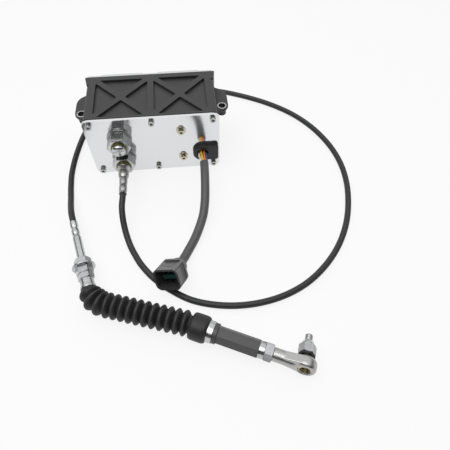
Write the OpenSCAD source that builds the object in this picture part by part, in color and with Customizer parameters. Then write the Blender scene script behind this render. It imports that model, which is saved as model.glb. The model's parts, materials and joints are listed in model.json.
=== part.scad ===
// Engine governor actuator: a sealed drive box that pulls a control cable.
// X runs across the front plate, Y points away from it, Z is up.
// The origin is the middle of the housing's underside.

/* [Housing] */
// Width of the cast housing across X
body_w = 140; // [110:1:180]
// Depth of the casting between its two covers
body_d = 69; // [60:1:90]
// Height of the housing
body_h = 77; // [70:1:100]
// Radius of the long edges
edge_r = 4; // [2:0.5:8]
// Thickness of the side and bottom walls
wall = 6.5; // [5:0.5:9]
// Depth of the triangular pockets in the top face
pocket_depth = 3; // [1:0.5:4]
// Width of the crossed ribs
rib_w = 6.5; // [4:0.5:9]
// Width of the rib between the two cells
mid_rib_w = 7; // [4:0.5:12]
// Margin left at the sides of the pockets
side_margin = 10; // [6:0.5:14]
// Margin left behind the pockets
far_margin = 6.5; // [4:0.5:10]
// Margin left in front of the pockets
near_margin = 3; // [2:0.5:6]
// How far the rear rim stands out at each side
rim_out = 2.5; // [1:0.5:5]
// Depth of the rear rim
rim_d = 12.5; // [6:0.5:16]

/* [Ears] */
// Reach of an ear from the housing side
ear_reach = 15; // [12:0.5:22]
// Thickness of an ear
ear_t = 3.5; // [3:0.5:10]
// Height of the upper face of the ears
ear_top = 60; // [40:1:66]
// Bolt hole distance from the housing side
ear_hole_out = 7.5; // [6.5:0.5:12]
// Bolt hole offset toward the rear
ear_hole_y = -5.5; // [-8:0.5:8]
// Outside diameter of an ear bush
bush_d = 9.5; // [8:0.1:12]
// Bolt hole through an ear bush
bush_hole_d = 8; // [5.5:0.1:8.4]
// Length of an ear bush
bush_len = 10; // [4:0.5:14]

/* [Covers] */
// Thickness of the front plate
plate_t = 3; // [2:0.5:5]
// Corner radius of the front plate
plate_r = 6; // [3:0.5:9]
// Thickness of a gasket
gasket_t = 1; // [0.5:0.25:2]
// Thickness of the rear cover
cover_t = 2; // [1.5:0.5:4]
// Height of the raised panels on the rear cover
panel_out = 1.5; // [1:0.5:3]
// Screw distance from the plate's side edges
screw_in_x = 5.5; // [5:0.5:8]
// Screw distance from the plate's upper and lower edges
screw_in_z = 5.5; // [5:0.5:8]
// Thread diameter of the cover screws
screw_d = 4; // [3:0.5:5]

/* [Ports] */
// Ports' distance from the left end of the front plate
port_in = 33.5; // [30:0.5:38]
// Distance between the upper and the lower port
port_gap = 28; // [26:0.5:32]
// Thread diameter of a port body
port_d = 16.5; // [15:0.5:18]
// Width across flats of a port nut
port_nut_af = 22; // [20:0.5:23]
// Thickness of a port nut
port_nut_t = 11; // [8:0.5:14]
// Diameter of a port washer
port_washer_d = 26.5; // [25:0.5:27]
// Thickness of a port washer
port_washer_t = 2; // [1:0.5:3]
// Length of the port body in front of its nut
port_lip = 4.5; // [3:0.5:7]
// Bore that holds the swivel or the plug
port_bore_d = 10.4; // [9:0.1:11]

/* [Wiring] */
// Wire outlet's distance from the right end of the front plate
outlet_in = 18; // [16:0.5:22]
// Height of the wire outlet
outlet_z = 25; // [22:0.5:30]
// Height of the grommet
grommet_h = 21.5; // [19:0.5:24]
// Thickness of the grommet
grommet_t = 4.5; // [3:0.5:7]
// Hole for the leads
outlet_d = 12.6; // [12:0.1:13]
// Diameter of one lead
lead_d = 2.2; // [1.8:0.1:2.4]
// Diameter of the harness sheath
sheath_d = 9.5; // [9:0.1:10]
// Width of the connector shell
shell_w = 26; // [24:0.5:28]
// Height of the connector shell
shell_h = 22; // [20:0.5:24]
// Length of the connector shell in front of its flange
shell_len = 20; // [18:0.5:22]
// Wall of the connector shell
shell_wall = 2; // [1.5:0.25:2.5]
// Depth of the connector socket
socket_depth = 13; // [10:0.5:14]

/* [Control cable] */
// Diameter of the cable jacket
cable_d = 6.5; // [6:0.1:6.6]
// Diameter of the crimped ferrules
ferrule_d = 8; // [7.4:0.1:9]
// Length of the near ferrule
near_ferrule_len = 16; // [12:0.5:18]
// Length of the far ferrule
far_ferrule_len = 20; // [16:0.5:22]
// Diameter of the inner wire
wire_d = 2.2; // [1.8:0.1:2.4]
// Height of the axis of the far end above the floor
axis_z = 12.6; // [12.5:0.1:14]
// Smooth diameter of the hub tube
hub_d = 8.4; // [7.6:0.1:9]
// Thread diameter of the hub
hub_thread_d = 9.6; // [9.2:0.1:10]
// Width across flats of the hub nuts
hub_nut_af = 14.5; // [13:0.5:16]
// Diameter of the hub washer
hub_washer_d = 22; // [18:0.5:24]

/* [Bellows] */
// Number of folds
folds = 14; // [10:1:16]
// Outer radius over the folds
fold_r = 12; // [11:0.25:12.25]
// Radius in the valleys between folds
valley_r = 8.25; // [8:0.25:10]
// Wall thickness of the rubber
rubber_t = 1.7; // [1:0.1:2]
// Diameter of the boot collar
collar_d = 25; // [22:0.5:25]
// Length of the boot collar
collar_len = 16; // [14:0.5:20]

/* [Rod end] */
// Width across flats of the hex sleeve
sleeve_af = 14.6; // [13:0.2:17]
// Length of the hex sleeve
sleeve_len = 41.7; // [34:0.1:46]
// Thread diameter of the rod end shank
shank_d = 10; // [8:0.5:10.5]
// Diameter of the eye
eye_d = 19.5; // [18.5:0.5:22]
// Thickness of the eye
eye_t = 11; // [10.5:0.5:13]
// Diameter of the ball
ball_d = 14; // [13.5:0.1:14.2]
// Thread diameter of the stud
stud_d = 8; // [7.5:0.1:8.5]
// Tilt of the stud in the eye as it lies
stud_tilt = 4; // [0:0.5:8]

/* [Drive] */
// Width of the cable drum
drum_w = 13; // [11:0.5:14]
// Gear module
gear_m = 1; // [0.9:0.05:1]
// Teeth on the output gear
gear_teeth = 36; // [32:1:36]
// Teeth on the motor pinion
pinion_teeth = 16; // [14:2:16]
// Diameter of the output shaft
shaft_d = 6; // [5:0.5:7]
// Diameter of the motor can
motor_d = 31; // [26:0.5:32]
// Room kept for the leads behind the motor
lead_room = 15; // [14:0.5:18]
// Thickness of the gear frame's walls
frame_t = 4; // [3:0.5:5]

/* [Fits] */
// Radial clearance of a turning or sliding pair
run_clear = 0.05; // [0.02:0.01:0.1]
// Radial gap of a pressed pair
press_gap = 0.02; // [0:0.01:0.05]
// Radial gap of a screw or a stem in its hole
hole_gap = 0.1; // [0.05:0.05:0.3]
// Gap between bodies that move apart
move_gap = 0.3; // [0.2:0.05:0.6]

/* [Hidden] */
$fn = 48;
// Middle height of the housing and depth places along Y
mid_z = body_h / 2;
front_y = -body_d / 2;
rear_y = body_d / 2;
plate_back = front_y - gasket_t;
plate_front = plate_back - plate_t;
cover_front = rear_y + gasket_t;
// Ear ends along Y: at the housing side and at the tip
ear_front = -18;
ear_rear = 30;
ear_tip_front = ear_hole_y - 3;
ear_tip_rear = ear_hole_y + 26;
ear_r_front = 6;
ear_r_rear = 9;
// Cover screw places across X and Z
screw_x = body_w / 2 - screw_in_x;
screw_xs = [-screw_x, 0, screw_x];
screw_zs = [screw_in_z, body_h - screw_in_z];
screw_depth = 9;
head_d = 1.6 * screw_d;
head_t = 0.85 * screw_d;
socket_af = 0.75 * screw_d;
clear_d = screw_d + 4 * hole_gap;
boss_r = screw_d + 1.5;
screw_sink = 1.2;
// Motor screws
motor_screw_x = body_w / 2 - 40;
motor_screw_zs = [mid_z - 19.5, mid_z + 19.5];
motor_washer_d = 10.4;
motor_washer_t = 1;
bracket_w = 8;
// Ports
port_x = port_in - body_w / 2;
port_zs = [mid_z - port_gap / 2, mid_z + port_gap / 2];
port_nut_front = plate_front - port_washer_t - port_nut_t;
port_front = port_nut_front - port_lip;
swivel_stem = 10;
port_step = port_front + swivel_stem;
port_head_t = 4;
// Near end of the control cable
swivel_neck = 5;
swivel_len = 10.5;
neck_front = port_front - swivel_neck;
collar_front = neck_front - swivel_len;
cable_start = collar_front - near_ferrule_len;
wire_bore_d = wire_d + 8 * hole_gap;
crimp = 0.7;
// Drive inside the housing, shaft along X
drum_r = port_gap / 2;
drum_y = -8;
drum_x = port_x;
gear_a = gear_m * (gear_teeth + pinion_teeth) / 2;
motor_y = drum_y + gear_a;
frame_left = drum_x - 20.5;
frame_right = drum_x + 28.5;
frame_rear = 30;
frame_low = 12;
frame_high = body_h - 12;
drum_left = drum_x - drum_w / 2;
drum_right = drum_left + drum_w;
gear_left = drum_right + 3;
gear_w = 8;
groove_step = 3;
backlash = 0.15;
addendum = 0.9;
dedendum = 1.25;
pressure = 20;
bush_flange_t = 1;
bush_out_d = shaft_d + 4;
rotor_d = 4;
pilot_d = 14;
motor_cap = 4;
motor_end = body_w / 2 - wall - lead_room;
motor_len = motor_end - motor_cap - frame_right;
rotor_in = 15;
sensor_d = 17;
sensor_t = 5.5;
// Wire outlet
outlet_x = body_w / 2 - outlet_in;
outlet_hole_d = outlet_d + 4;
grommet_corner = 3;
sheath_x = outlet_x + 0.5;
sheath_z = outlet_z + 1;
// Connector place: front face middle, turn, pitch and roll
conn_at = [7.1, -198.6, 24.8];
conn_turn = -27;
conn_pitch = -29;
conn_roll = 24;
flange_t = 3;
boss_len = 6;
boss_d = 16;
seal_t = 4;
seal_d = 12;
shell_r = 6;
shell_taper = 2;
pin_d = 2;
pin_xs = [-5.5, 0, 5.5];
pin_ys = [-5.2, 5.2];
wedge_at = 6.2;
wedge_w = 15;
wedge_h = 4.4;
wedge_r = 1.5;
pin_at = 6.5;
conn_len = shell_len + flange_t + 1 + seal_t;
// Far end of the control cable, on the floor in front
hub_at = [-89, -116.3, axis_z];
hub_turn = -74.2;
hub_dir = [cos(hub_turn), sin(hub_turn), 0];
hub_len = 81;
hub_nut_back = 48;
hub_nut_t = 7.6;
hub_washer_t = 1.8;
hub_washer_at = hub_nut_back + hub_nut_t;
hub_nut_fore = hub_washer_at + hub_washer_t;
hub_lock_at = hub_nut_fore + hub_nut_t;
hub_lock_t = 6;
hub_ring_at = hub_lock_at + hub_lock_t;
hub_ring_d = 13;
// Bellows line: one bend, a straight run and a slight bend back
bend_1 = 55.2;
bend_r1 = 26.2;
run_len = 74.5;
bend_2 = -6.5;
bend_r2 = 60;
bellows_at = hub_at + hub_len * hub_dir;
arc_1 = bend_r1 * bend_1 * PI / 180;
arc_2 = -bend_r2 * bend_2 * PI / 180;
bellows_len = arc_1 + run_len + arc_2;
cuff = 2;
fold_shape = 1.1;
end_step = 0.1;
fold_pitch = (bellows_len - 2 * cuff) / folds;
bellows_sides = 18;
fold_rings = 6;
// Rod line behind the bellows
rod_at = bellows_point(bellows_len);
rod_turn = hub_turn + bend_1 + bend_2;
rod_dir = [cos(rod_turn), sin(rod_turn), 0];
clamp_at = move_gap + collar_len;
clamp_t = 5.5;
sleeve_at = clamp_at + clamp_t;
ring_at = sleeve_at + sleeve_len;
ring_t = 5;
nut_at = ring_at + ring_t;
nut_t = 7.5;
barrel_at = nut_at + nut_t;
barrel_len = 28.5;
eye_at = barrel_at + barrel_len;
rod_tip = -12;
rod_bore = 27;
rod_d = 6;
liner_d = eye_d - 4;
liner_t = 9;
lip_d = 11.4;
eye_roll = 11;
neck_d = 7;
dust_seal_d = 15.2;
seal_ball_r = 11.2;
seal_face = 12.5;
stud_nut_t = 6;
stud_washer_t = 4;
stud_tip_d = stud_d - 1;
stud_len = 29.5;

// Outer route of the control cable: down from the lower port, round the floor, behind the
// housing and back to the hub
cable_floor = cable_d / 2 + 0.15;
cable_route = [
    [port_x, cable_start - move_gap, port_zs[0]],
    [port_x - 0.2, cable_start - 9.5, port_zs[0] - 0.5],
    [port_x - 1.2, cable_start - 19.5, port_zs[0] - 3.2],
    [-37.5, -117, 16.6],
    [-36.2, -127, 10.9],
    [-33.8, -137, 6.4],
    [-30.4, -147, 4],
    [-25.6, -157.5, cable_floor],
    [-19, -169.5, cable_floor],
    [-7, -185, cable_floor],
    [9, -199, cable_floor],
    [30, -212, cable_floor],
    [57, -219.5, cable_floor],
    [85, -221, cable_floor],
    [113, -216.5, cable_floor],
    [139, -206, cable_floor],
    [162, -189.5, cable_floor],
    [182, -168, cable_floor],
    [198, -142, cable_floor],
    [209, -113, cable_floor],
    [215.5, -82, cable_floor],
    [216, -51, cable_floor],
    [209.5, -20, cable_floor],
    [195.5, 11, cable_floor],
    [175, 38, cable_floor],
    [148, 60.5, cable_floor],
    [117, 78.5, cable_floor],
    [85, 92, cable_floor],
    [50, 100, cable_floor],
    [14, 102, cable_floor],
    [-22, 96, cable_floor],
    [-54, 81, cable_floor],
    [-78, 57, cable_floor],
    [-91, 28, cable_floor],
    [-98, -5, cable_floor],
    [-101, -37, cable_floor],
    [-100, -60, cable_floor],
    [-98, -76, 4.6],
    [-95.5, -91, 8.2],
    [-92.3, -104.7, 12],
    hub_at - move_gap * hub_dir
];

// Route of the harness sheath from the leads to the connector
sheath_start = plate_front - grommet_t - 12;
sheath_route = [
    [sheath_x, sheath_start, sheath_z],
    [sheath_x - 0.1, sheath_start - 9.5, sheath_z - 0.4],
    [sheath_x - 0.5, -75, sheath_z - 1.8],
    [sheath_x - 1.5, -90, sheath_z - 5.2],
    [49.5, -104, 16.2],
    [46.5, -118.5, 11.4],
    [41, -132.5, 7.4],
    [35, -145.4, 5.7],
    [28.4, -157.2, 5.44],
    [25.1, -163.4, 6],
    [21.6, -170.2, 7.9],
    conn_point(conn_len + move_gap)
];

// Leads side by side in the outlet: offset across and offset up
lead_offsets = [[-4.1, -1.2], [-1.5, 1.2], [1.5, 1.2], [4.1, -1.2]];
// Bend of the leads behind the motor, and how far they close up at the sheath
lead_bend = lead_room - 5.5;
lead_bunch = 0.82;

// Named parts

// Small tools

// Unit vector
function unit(v) = v / norm(v);

// Point on a smooth curve between b and c
function curve_point(a, b, c, d, t) =
    b + 0.5 * t * ((c - a) + t * ((2 * a - 5 * b + 4 * c - d) + t * (3 * (b - c) + d - a)));

// Smooth route through hand-placed points, with steps between each two
function smooth(p, steps) =
    let (n = len(p), q = concat([2 * p[0] - p[1]], p, [2 * p[n - 1] - p[n - 2]]))
    concat(
        [for (k = [1 : n - 1], i = [0 : steps - 1])
            curve_point(q[k - 1], q[k], q[k + 1], q[k + 2], i / steps)],
        [p[n - 1]]
    );

// Direction of a route at ring i
function route_dir(p, i) = unit(p[min(i + 1, len(p) - 1)] - p[max(i - 1, 0)]);

// One ring of points around a place on a route
function ring(c, dir, r, sides) =
    let (side = unit(cross(dir, [0, 0, 1])), up = cross(side, dir))
    [for (j = [0 : sides - 1]) c + r * (cos(360 * j / sides) * side + sin(360 * j / sides) * up)];

// All rings of a route, end to end
function rings(p, r, sides) = [
    for (i = [0 : len(p) - 1], q = ring(p[i], route_dir(p, i), r, sides)) q
];

// Side faces between rings, from point number first
function skin(count, sides, first) = [
    for (i = [0 : count - 2], j = [0 : sides - 1], h = [0, 1])
        let (a = first + i * sides + j, d = first + i * sides + (j + 1) % sides)
        h == 0 ? [a, d, d + sides] : [a, d + sides, a + sides]
];

// Turns a list of faces inside out
function flipped(faces) = [for (f = faces) [for (i = [len(f) - 1 : -1 : 0]) f[i]]];

// Round cord along a route
module cord(p, r, sides) {
    last = (len(p) - 1) * sides;
    polyhedron(
        points = rings(p, r, sides),
        faces = concat(
            skin(len(p), sides, 0),
            [[for (j = [sides - 1 : -1 : 0]) j]],
            [[for (j = [0 : sides - 1]) last + j]]
        )
    );
}

// Corner of a polygon drawn round by a short curve
function round_corner(a, p, b, r) =
    let (s = p + r * unit(a - p), e = p + r * unit(b - p))
    [for (t = [0 : 0.25 : 1]) (1 - t) * (1 - t) * s + 2 * t * (1 - t) * p + t * t * e];

// Polygon with round corners
function rounded(p, r) =
    let (n = len(p))
    [for (i = [0 : n - 1], q = round_corner(p[(i + n - 1) % n], p[i], p[(i + 1) % n], r)) q];

// Rectangle with round corners, about its middle
module round_rect(w, h, r) {
    difference() {
        square([w, h], center = true);
        for (sx = [-1, 1], sy = [-1, 1]) {
            translate([sx * w / 2, sy * h / 2]) difference() {
                square(2 * r, center = true);
                translate([-sx * r, -sy * r]) circle(r);
            }
        }
    }
}

// Regular hexagon by its width across flats
module hex(af) {
    circle(d = af / cos(30), $fn = 6);
}

// Hex nut along local Z with chamfered corners
module nut(af, t, hole) {
    difference() {
        linear_extrude(t) hex(af);
        translate([0, 0, -1]) cylinder(d = hole, h = t + 2);
        for (flip = [0, 1]) {
            translate([0, 0, flip * t]) mirror([0, 0, flip]) rotate_extrude() polygon([
                [af / 2, -0.01],
                [af, -0.01],
                [af, 0.3 * af],
                [af / 2 - 0.01, -0.005]
            ]);
        }
    }
}

// Flat ring along local Z
module washer(d, hole, t) {
    difference() {
        cylinder(d = d, h = t);
        translate([0, 0, -1]) cylinder(d = hole, h = t + 2);
    }
}

// Local Z runs along -Y, away from the front plate
module to_front(y) {
    translate([0, y, 0]) rotate([90, 0, 0]) children();
}

// Local Z runs along +Y
module to_rear(y) {
    translate([0, y, 0]) rotate([90, 0, 180]) children();
}

// Local Z runs along +X, local X along +Y
module along_x(x) {
    translate([x, 0, 0]) rotate([90, 0, 90]) children();
}

// Local Z runs along the drum shaft, towards +X
module at_drum(x) {
    along_x(x) translate([drum_y, mid_z]) children();
}

// Local Z runs along the motor shaft, towards +X
module at_motor(x) {
    along_x(x) translate([motor_y, mid_z]) children();
}

// Local Z runs along the hub
module on_hub(s) {
    translate(hub_at + s * hub_dir) rotate([0, 0, hub_turn]) rotate([90, 0, 90]) children();
}

// Local X runs along the rod line, local Z is up
module on_rod(s) {
    translate(rod_at + s * rod_dir) rotate([0, 0, rod_turn]) children();
}

// Local Z runs along the rod line
module along_rod(s) {
    on_rod(s) rotate([90, 0, 90]) children();
}

// Local Z runs across the eye, from its middle
module across_eye() {
    on_rod(eye_at) rotate([90 - eye_roll, 0, 0]) children();
}

// Local Z runs along the stud, from the middle of the ball
module on_stud() {
    on_rod(eye_at) rotate([-eye_roll, 0, 0]) rotate([0, 0, stud_tilt]) rotate([-90, 0, 0]) children();
}

// Local Z runs from the connector's front face to its rear
module on_connector() {
    translate(conn_at) rotate([0, 0, conn_turn]) rotate([conn_pitch, 0, 0])
        rotate([90, conn_roll, 180]) children();
}

// Place on the connector's axis behind its front face
function conn_point(s) = conn_at + s * [
    -cos(conn_pitch) * sin(conn_turn),
    cos(conn_pitch) * cos(conn_turn),
    sin(conn_pitch)
];

// Turned point about the vertical
function turned(v, a) = [v[0] * cos(a) - v[1] * sin(a), v[0] * sin(a) + v[1] * cos(a), v[2]];

// Place on an arc that starts along +X and bends left by a signed radius
function arc_point(r, s) = [r * sin(s / r * 180 / PI), r * (1 - cos(s / r * 180 / PI)), 0];

// Place on the bellows line at length s
function bellows_point(s) =
    let (run = s - arc_1, turn = hub_turn + bend_1)
    run <= 0 ? bellows_at + turned(arc_point(bend_r1, s), hub_turn)
    : run <= run_len ? bellows_point(arc_1) + turned([run, 0, 0], turn)
    : bellows_point(arc_1 + run_len) + turned(arc_point(-bend_r2, run - run_len), turn);

// Outer radius of the bellows at length s
function bellows_radius(s) =
    let (u = (s - cuff) / fold_pitch, i = floor(u + 0.001), top = i == 0 ? 0.6 : 1)
    s < cuff - 0.01 ? valley_r - 0.8
    : s > bellows_len - cuff - 0.01 ? valley_r
    : valley_r + top * (fold_r - valley_r) * pow(abs(sin(180 * (u - i))), fold_shape);

// Involute helper: tooth half angle at radius q
function involute(x) = tan(x) - x * PI / 180;
function half_angle(r, q) =
    let (base = r * cos(pressure), x = q > base ? acos(base / q) : 0)
    ((PI * gear_m / 2 - backlash) / (2 * r) + involute(pressure) - involute(x)) * 180 / PI;

// Spur gear outline
module gear_outline(teeth) {
    r = gear_m * teeth / 2;
    root = r - dedendum * gear_m;
    base = max(r * cos(pressure), root + 0.05);
    tip = r + addendum * gear_m;
    qs = [for (k = [0 : 4]) base + (tip - base) * k / 4];
    polygon([
        for (i = [0 : teeth - 1], side = [-1, 1], k = side < 0 ? [0 : 5] : [5 : -1 : 0])
            let (q = k == 0 ? root : qs[k - 1], half = half_angle(r, max(q, base)))
            let (a = 360 * i / teeth + side * half)
            [q * cos(a), q * sin(a)]
    ]);
}

// Crimped ferrule along local Z
module ferrule(len) {
    rotate_extrude() polygon(concat(
        [[wire_bore_d / 2, 0], [ferrule_d / 2, 0]],
        [for (k = [0 : 3], e = [0, 1])
            [ferrule_d / 2 - (k % 2) * crimp, len * (0.12 + 0.22 * k + 0.2 * e)]],
        [[ferrule_d / 2, len], [wire_bore_d / 2, len]]
    ));
}

// Cap screw along local Z, seated at zero with the shank below
module cap_screw(len) {
    difference() {
        union() {
            cylinder(d = head_d, h = head_t);
            translate([0, 0, -len]) cylinder(d = screw_d - 2 * hole_gap, h = len + 0.1);
        }
        translate([0, 0, head_t / 2]) linear_extrude(head_t) hex(socket_af);
    }
}

// Housing

// Triangles of one cell of the ribbed face
module cell(x0, x1, y0, y1) {
    w = x1 - x0;
    h = y1 - y0;
    across = rib_w / 2 * norm([w, h]) / h;
    along = rib_w / 2 * norm([w, h]) / w;
    mx = (x0 + x1) / 2;
    my = (y0 + y1) / 2;
    polygon(rounded([[x0 + across, y1], [x1 - across, y1], [mx, my + along]], 2));
    polygon(rounded([[x0 + across, y0], [x1 - across, y0], [mx, my - along]], 2));
    polygon(rounded([[x0, y0 + along], [x0, y1 - along], [mx - across, my]], 2));
    polygon(rounded([[x1, y0 + along], [x1, y1 - along], [mx + across, my]], 2));
}

// Inside of the casting with its screw bosses
module cavity() {
    difference() {
        translate([0, mid_z]) square([body_w - 2 * wall, body_h - 2 * wall], center = true);
        for (x = screw_xs, z = screw_zs) translate([x, z]) circle(boss_r);
    }
}

// Screw places of both covers
module at_screws() {
    for (x = screw_xs, z = screw_zs) translate([x, z, 0]) children();
}

// Outline of an ear seen from above, on the side of positive X
module ear_outline() {
    x0 = body_w / 2 - 1;
    x1 = body_w / 2 + ear_reach;
    polygon(concat(
        [[x0, ear_front]],
        round_corner([x0, ear_front], [x1, ear_tip_front], [x1, ear_tip_rear], ear_r_front),
        round_corner([x1, ear_tip_front], [x1, ear_tip_rear], [x0, ear_rear], ear_r_rear),
        [[x0, ear_rear]]
    ));
}

module housing() {
    ear_x = body_w / 2 + ear_hole_out;
    color("#303234") difference() {
        union() {
            to_rear(front_y) translate([0, mid_z]) linear_extrude(body_d)
                round_rect(body_w, body_h, edge_r);
            linear_extrude(body_h) polygon([
                [-body_w / 2, rear_y - rim_d],
                [body_w / 2, rear_y - rim_d],
                [body_w / 2 + rim_out, rear_y],
                [-body_w / 2 - rim_out, rear_y]
            ]);
            for (side = [0, 1]) mirror([side, 0, 0])
                translate([0, 0, ear_top - ear_t]) linear_extrude(ear_t) ear_outline();
        }
        to_rear(front_y - 1) linear_extrude(body_d + 2) cavity();
        translate([0, 0, body_h - pocket_depth]) linear_extrude(pocket_depth + 1) {
            for (side = [0, 1]) mirror([side, 0]) cell(
                mid_rib_w / 2,
                body_w / 2 - side_margin,
                front_y + near_margin,
                rear_y - far_margin
            );
        }
        to_rear(front_y) at_screws() cylinder(d = screw_d, h = screw_depth + 1);
        to_front(rear_y) at_screws() cylinder(d = screw_d, h = screw_depth + 1);
        for (side = [-1, 1]) translate([side * ear_x, ear_hole_y, ear_top - ear_t - 1])
            cylinder(d = bush_d + 2 * press_gap, h = ear_t + 2);
    }
}

module ear_bushes() {
    flange = 0.5;
    color("#c9ccd0") for (side = [-1, 1]) {
        translate([side * (body_w / 2 + ear_hole_out), ear_hole_y, ear_top - bush_len]) difference() {
            union() {
                cylinder(d = bush_d, h = bush_len);
                translate([0, 0, bush_len]) cylinder(d = bush_d + 0.8, h = flange);
            }
            translate([0, 0, -1]) cylinder(d = bush_hole_d, h = bush_len + 3);
        }
    }
}

// Gasket outline: edge of the casting less its inside
module gasket_outline() {
    difference() {
        translate([0, mid_z]) round_rect(body_w - 1, body_h - 1, edge_r);
        cavity();
        at_screws() circle(d = clear_d);
    }
}

module front_gasket() {
    color("#1b1b1c") to_rear(plate_back) linear_extrude(gasket_t) gasket_outline();
}

module rear_gasket() {
    color("#1b1b1c") to_rear(rear_y) linear_extrude(gasket_t) gasket_outline();
}

module front_plate() {
    color("#d4d6d8") to_front(plate_back) linear_extrude(plate_t) difference() {
        translate([0, mid_z]) round_rect(body_w, body_h, plate_r);
        at_screws() circle(d = clear_d);
        for (z = port_zs) translate([port_x, z]) circle(d = port_d + 4 * hole_gap);
        for (z = motor_screw_zs) translate([motor_screw_x, z]) circle(d = clear_d);
        translate([outlet_x, outlet_z]) circle(d = outlet_hole_d);
    }
}

module rear_cover() {
    cover_w = body_w + 2 * rim_out - 1;
    panel_w = body_w / 2 - 2 * side_margin + 1;
    panel_gap = 6;
    panel_x = panel_w / 2 + panel_gap;
    panel_r = 5;
    color("#c4c7c9") difference() {
        to_rear(cover_front) translate([0, mid_z]) {
            linear_extrude(cover_t) round_rect(cover_w, body_h - 1, edge_r);
            for (side = [-1, 1]) translate([side * panel_x, 0, cover_t - 0.1])
                linear_extrude(panel_out + 0.1) round_rect(panel_w, body_h - 1, panel_r);
        }
        to_rear(cover_front - 1) at_screws() cylinder(d = clear_d, h = cover_t + panel_out + 2);
        to_rear(cover_front + cover_t - screw_sink) at_screws()
            cylinder(d = head_d + 4 * hole_gap, h = panel_out + 5);
    }
}

module rear_screws() {
    len = cover_t + gasket_t + screw_depth;
    color("#8d9094") to_rear(cover_front + cover_t - screw_sink) at_screws() {
        cylinder(d = head_d, h = screw_sink);
        translate([0, 0, screw_sink - len]) cylinder(d = screw_d - 2 * hole_gap, h = len);
    }
}

module plate_screws() {
    color("#9a9c9e") to_front(plate_front) at_screws()
        cap_screw(plate_t + gasket_t + screw_depth);
}

module motor_washers() {
    color("#c8c2ac") to_front(plate_front) for (z = motor_screw_zs) translate([motor_screw_x, z])
        washer(motor_washer_d, screw_d + 2 * hole_gap, motor_washer_t);
}

module motor_screws() {
    color("#b9b49c") to_front(plate_front - motor_washer_t) for (z = motor_screw_zs) {
        translate([motor_screw_x, z, 0]) cap_screw(motor_washer_t + plate_t + screw_depth);
    }
}

// Ports

// Places of the two ports
module at_ports() {
    for (z = port_zs) translate([port_x, z, 0]) children();
}

module port_bodies() {
    inner = plate_back + frame_t;
    len = inner - port_front;
    color("#8c8a4a") to_front(inner) at_ports() difference() {
        union() {
            translate([0, 0, -port_head_t]) cylinder(d = port_d + 4.5, h = port_head_t);
            cylinder(d = port_d, h = len);
        }
        translate([0, 0, -port_head_t - 1]) cylinder(d = wire_bore_d + 1, h = len + port_head_t + 2);
        translate([0, 0, inner - port_step]) cylinder(d = port_bore_d, h = port_step - port_front + 1);
    }
}

module port_washers() {
    color("#cfd1d2") to_front(plate_front) at_ports()
        washer(port_washer_d, port_d + 2 * hole_gap, port_washer_t);
}

module port_nuts() {
    color("#c2c4c6") to_front(plate_front - port_washer_t) at_ports()
        nut(port_nut_af, port_nut_t, port_d + 2 * hole_gap);
}

module port_plug() {
    stem_d = port_bore_d - 2 * hole_gap;
    stem_len = 6;
    cap_r = port_d / 2 - 1;
    color("#d6d8da") to_front(port_front) translate([port_x, port_zs[1], 0]) rotate_extrude() polygon([
        [0, -stem_len],
        [stem_d / 2, -stem_len],
        [stem_d / 2, 0],
        [cap_r, 0],
        [cap_r, 2],
        [cap_r - 0.4, 3],
        [cap_r - 1.2, 4],
        [cap_r - 2.4, 4.9],
        [cap_r - 4, 5.5],
        [0, 5.9]
    ]);
}

module cable_swivel() {
    stem_r = port_bore_d / 2 - hole_gap;
    neck_r = 3;
    ball_r = 4.8;
    hole_r = wire_bore_d / 2;
    stem = port_step - port_front - 1;
    neck = port_step - neck_front;
    end = port_step - collar_front;
    color("#b4b6b8") to_front(port_step) translate([port_x, port_zs[0], 0]) rotate_extrude() polygon([
        [hole_r, 0],
        [stem_r, 0],
        [stem_r, stem],
        [neck_r, stem],
        [neck_r, neck],
        [ball_r - 0.9, neck + 0.6],
        [ball_r - 0.2, neck + 2.4],
        [ball_r, neck + 4.6],
        [ball_r - 0.2, end - 3.2],
        [ball_r - 0.8, end - 1],
        [ball_r - 1.2, end],
        [hole_r, end]
    ]);
}

module near_ferrule() {
    color("#bfc1c3") to_front(collar_front) translate([port_x, port_zs[0], 0])
        ferrule(near_ferrule_len);
}

// Wiring

module wire_grommet() {
    r = grommet_h / 2;
    right = body_w / 2 - outlet_x;
    color("#141415") to_front(plate_back) translate([outlet_x, outlet_z, 0]) difference() {
        union() {
            translate([0, 0, plate_t]) linear_extrude(grommet_t) {
                circle(r);
                difference() {
                    translate([0, -r]) square([right, grommet_h]);
                    for (s = [-1, 1]) translate([right, s * r]) difference() {
                        square(2 * grommet_corner, center = true);
                        translate([-grommet_corner, -s * grommet_corner]) circle(grommet_corner);
                    }
                }
            }
            translate([0, 0, -0.1]) cylinder(d = outlet_hole_d - 2 * press_gap, h = plate_t + 0.2);
            translate([0, 0, -2]) cylinder(d = outlet_hole_d + 3, h = 2);
        }
        translate([0, 0, -3]) cylinder(d = outlet_d, h = plate_t + grommet_t + 4);
    }
}

// Place of lead k across its bundle, turned by an angle
function lead_across(k, a) =
    let (ox = lead_offsets[k][0], oz = lead_offsets[k][1])
    [ox * cos(a) - oz * sin(a), 0, ox * sin(a) + oz * cos(a)];

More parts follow.
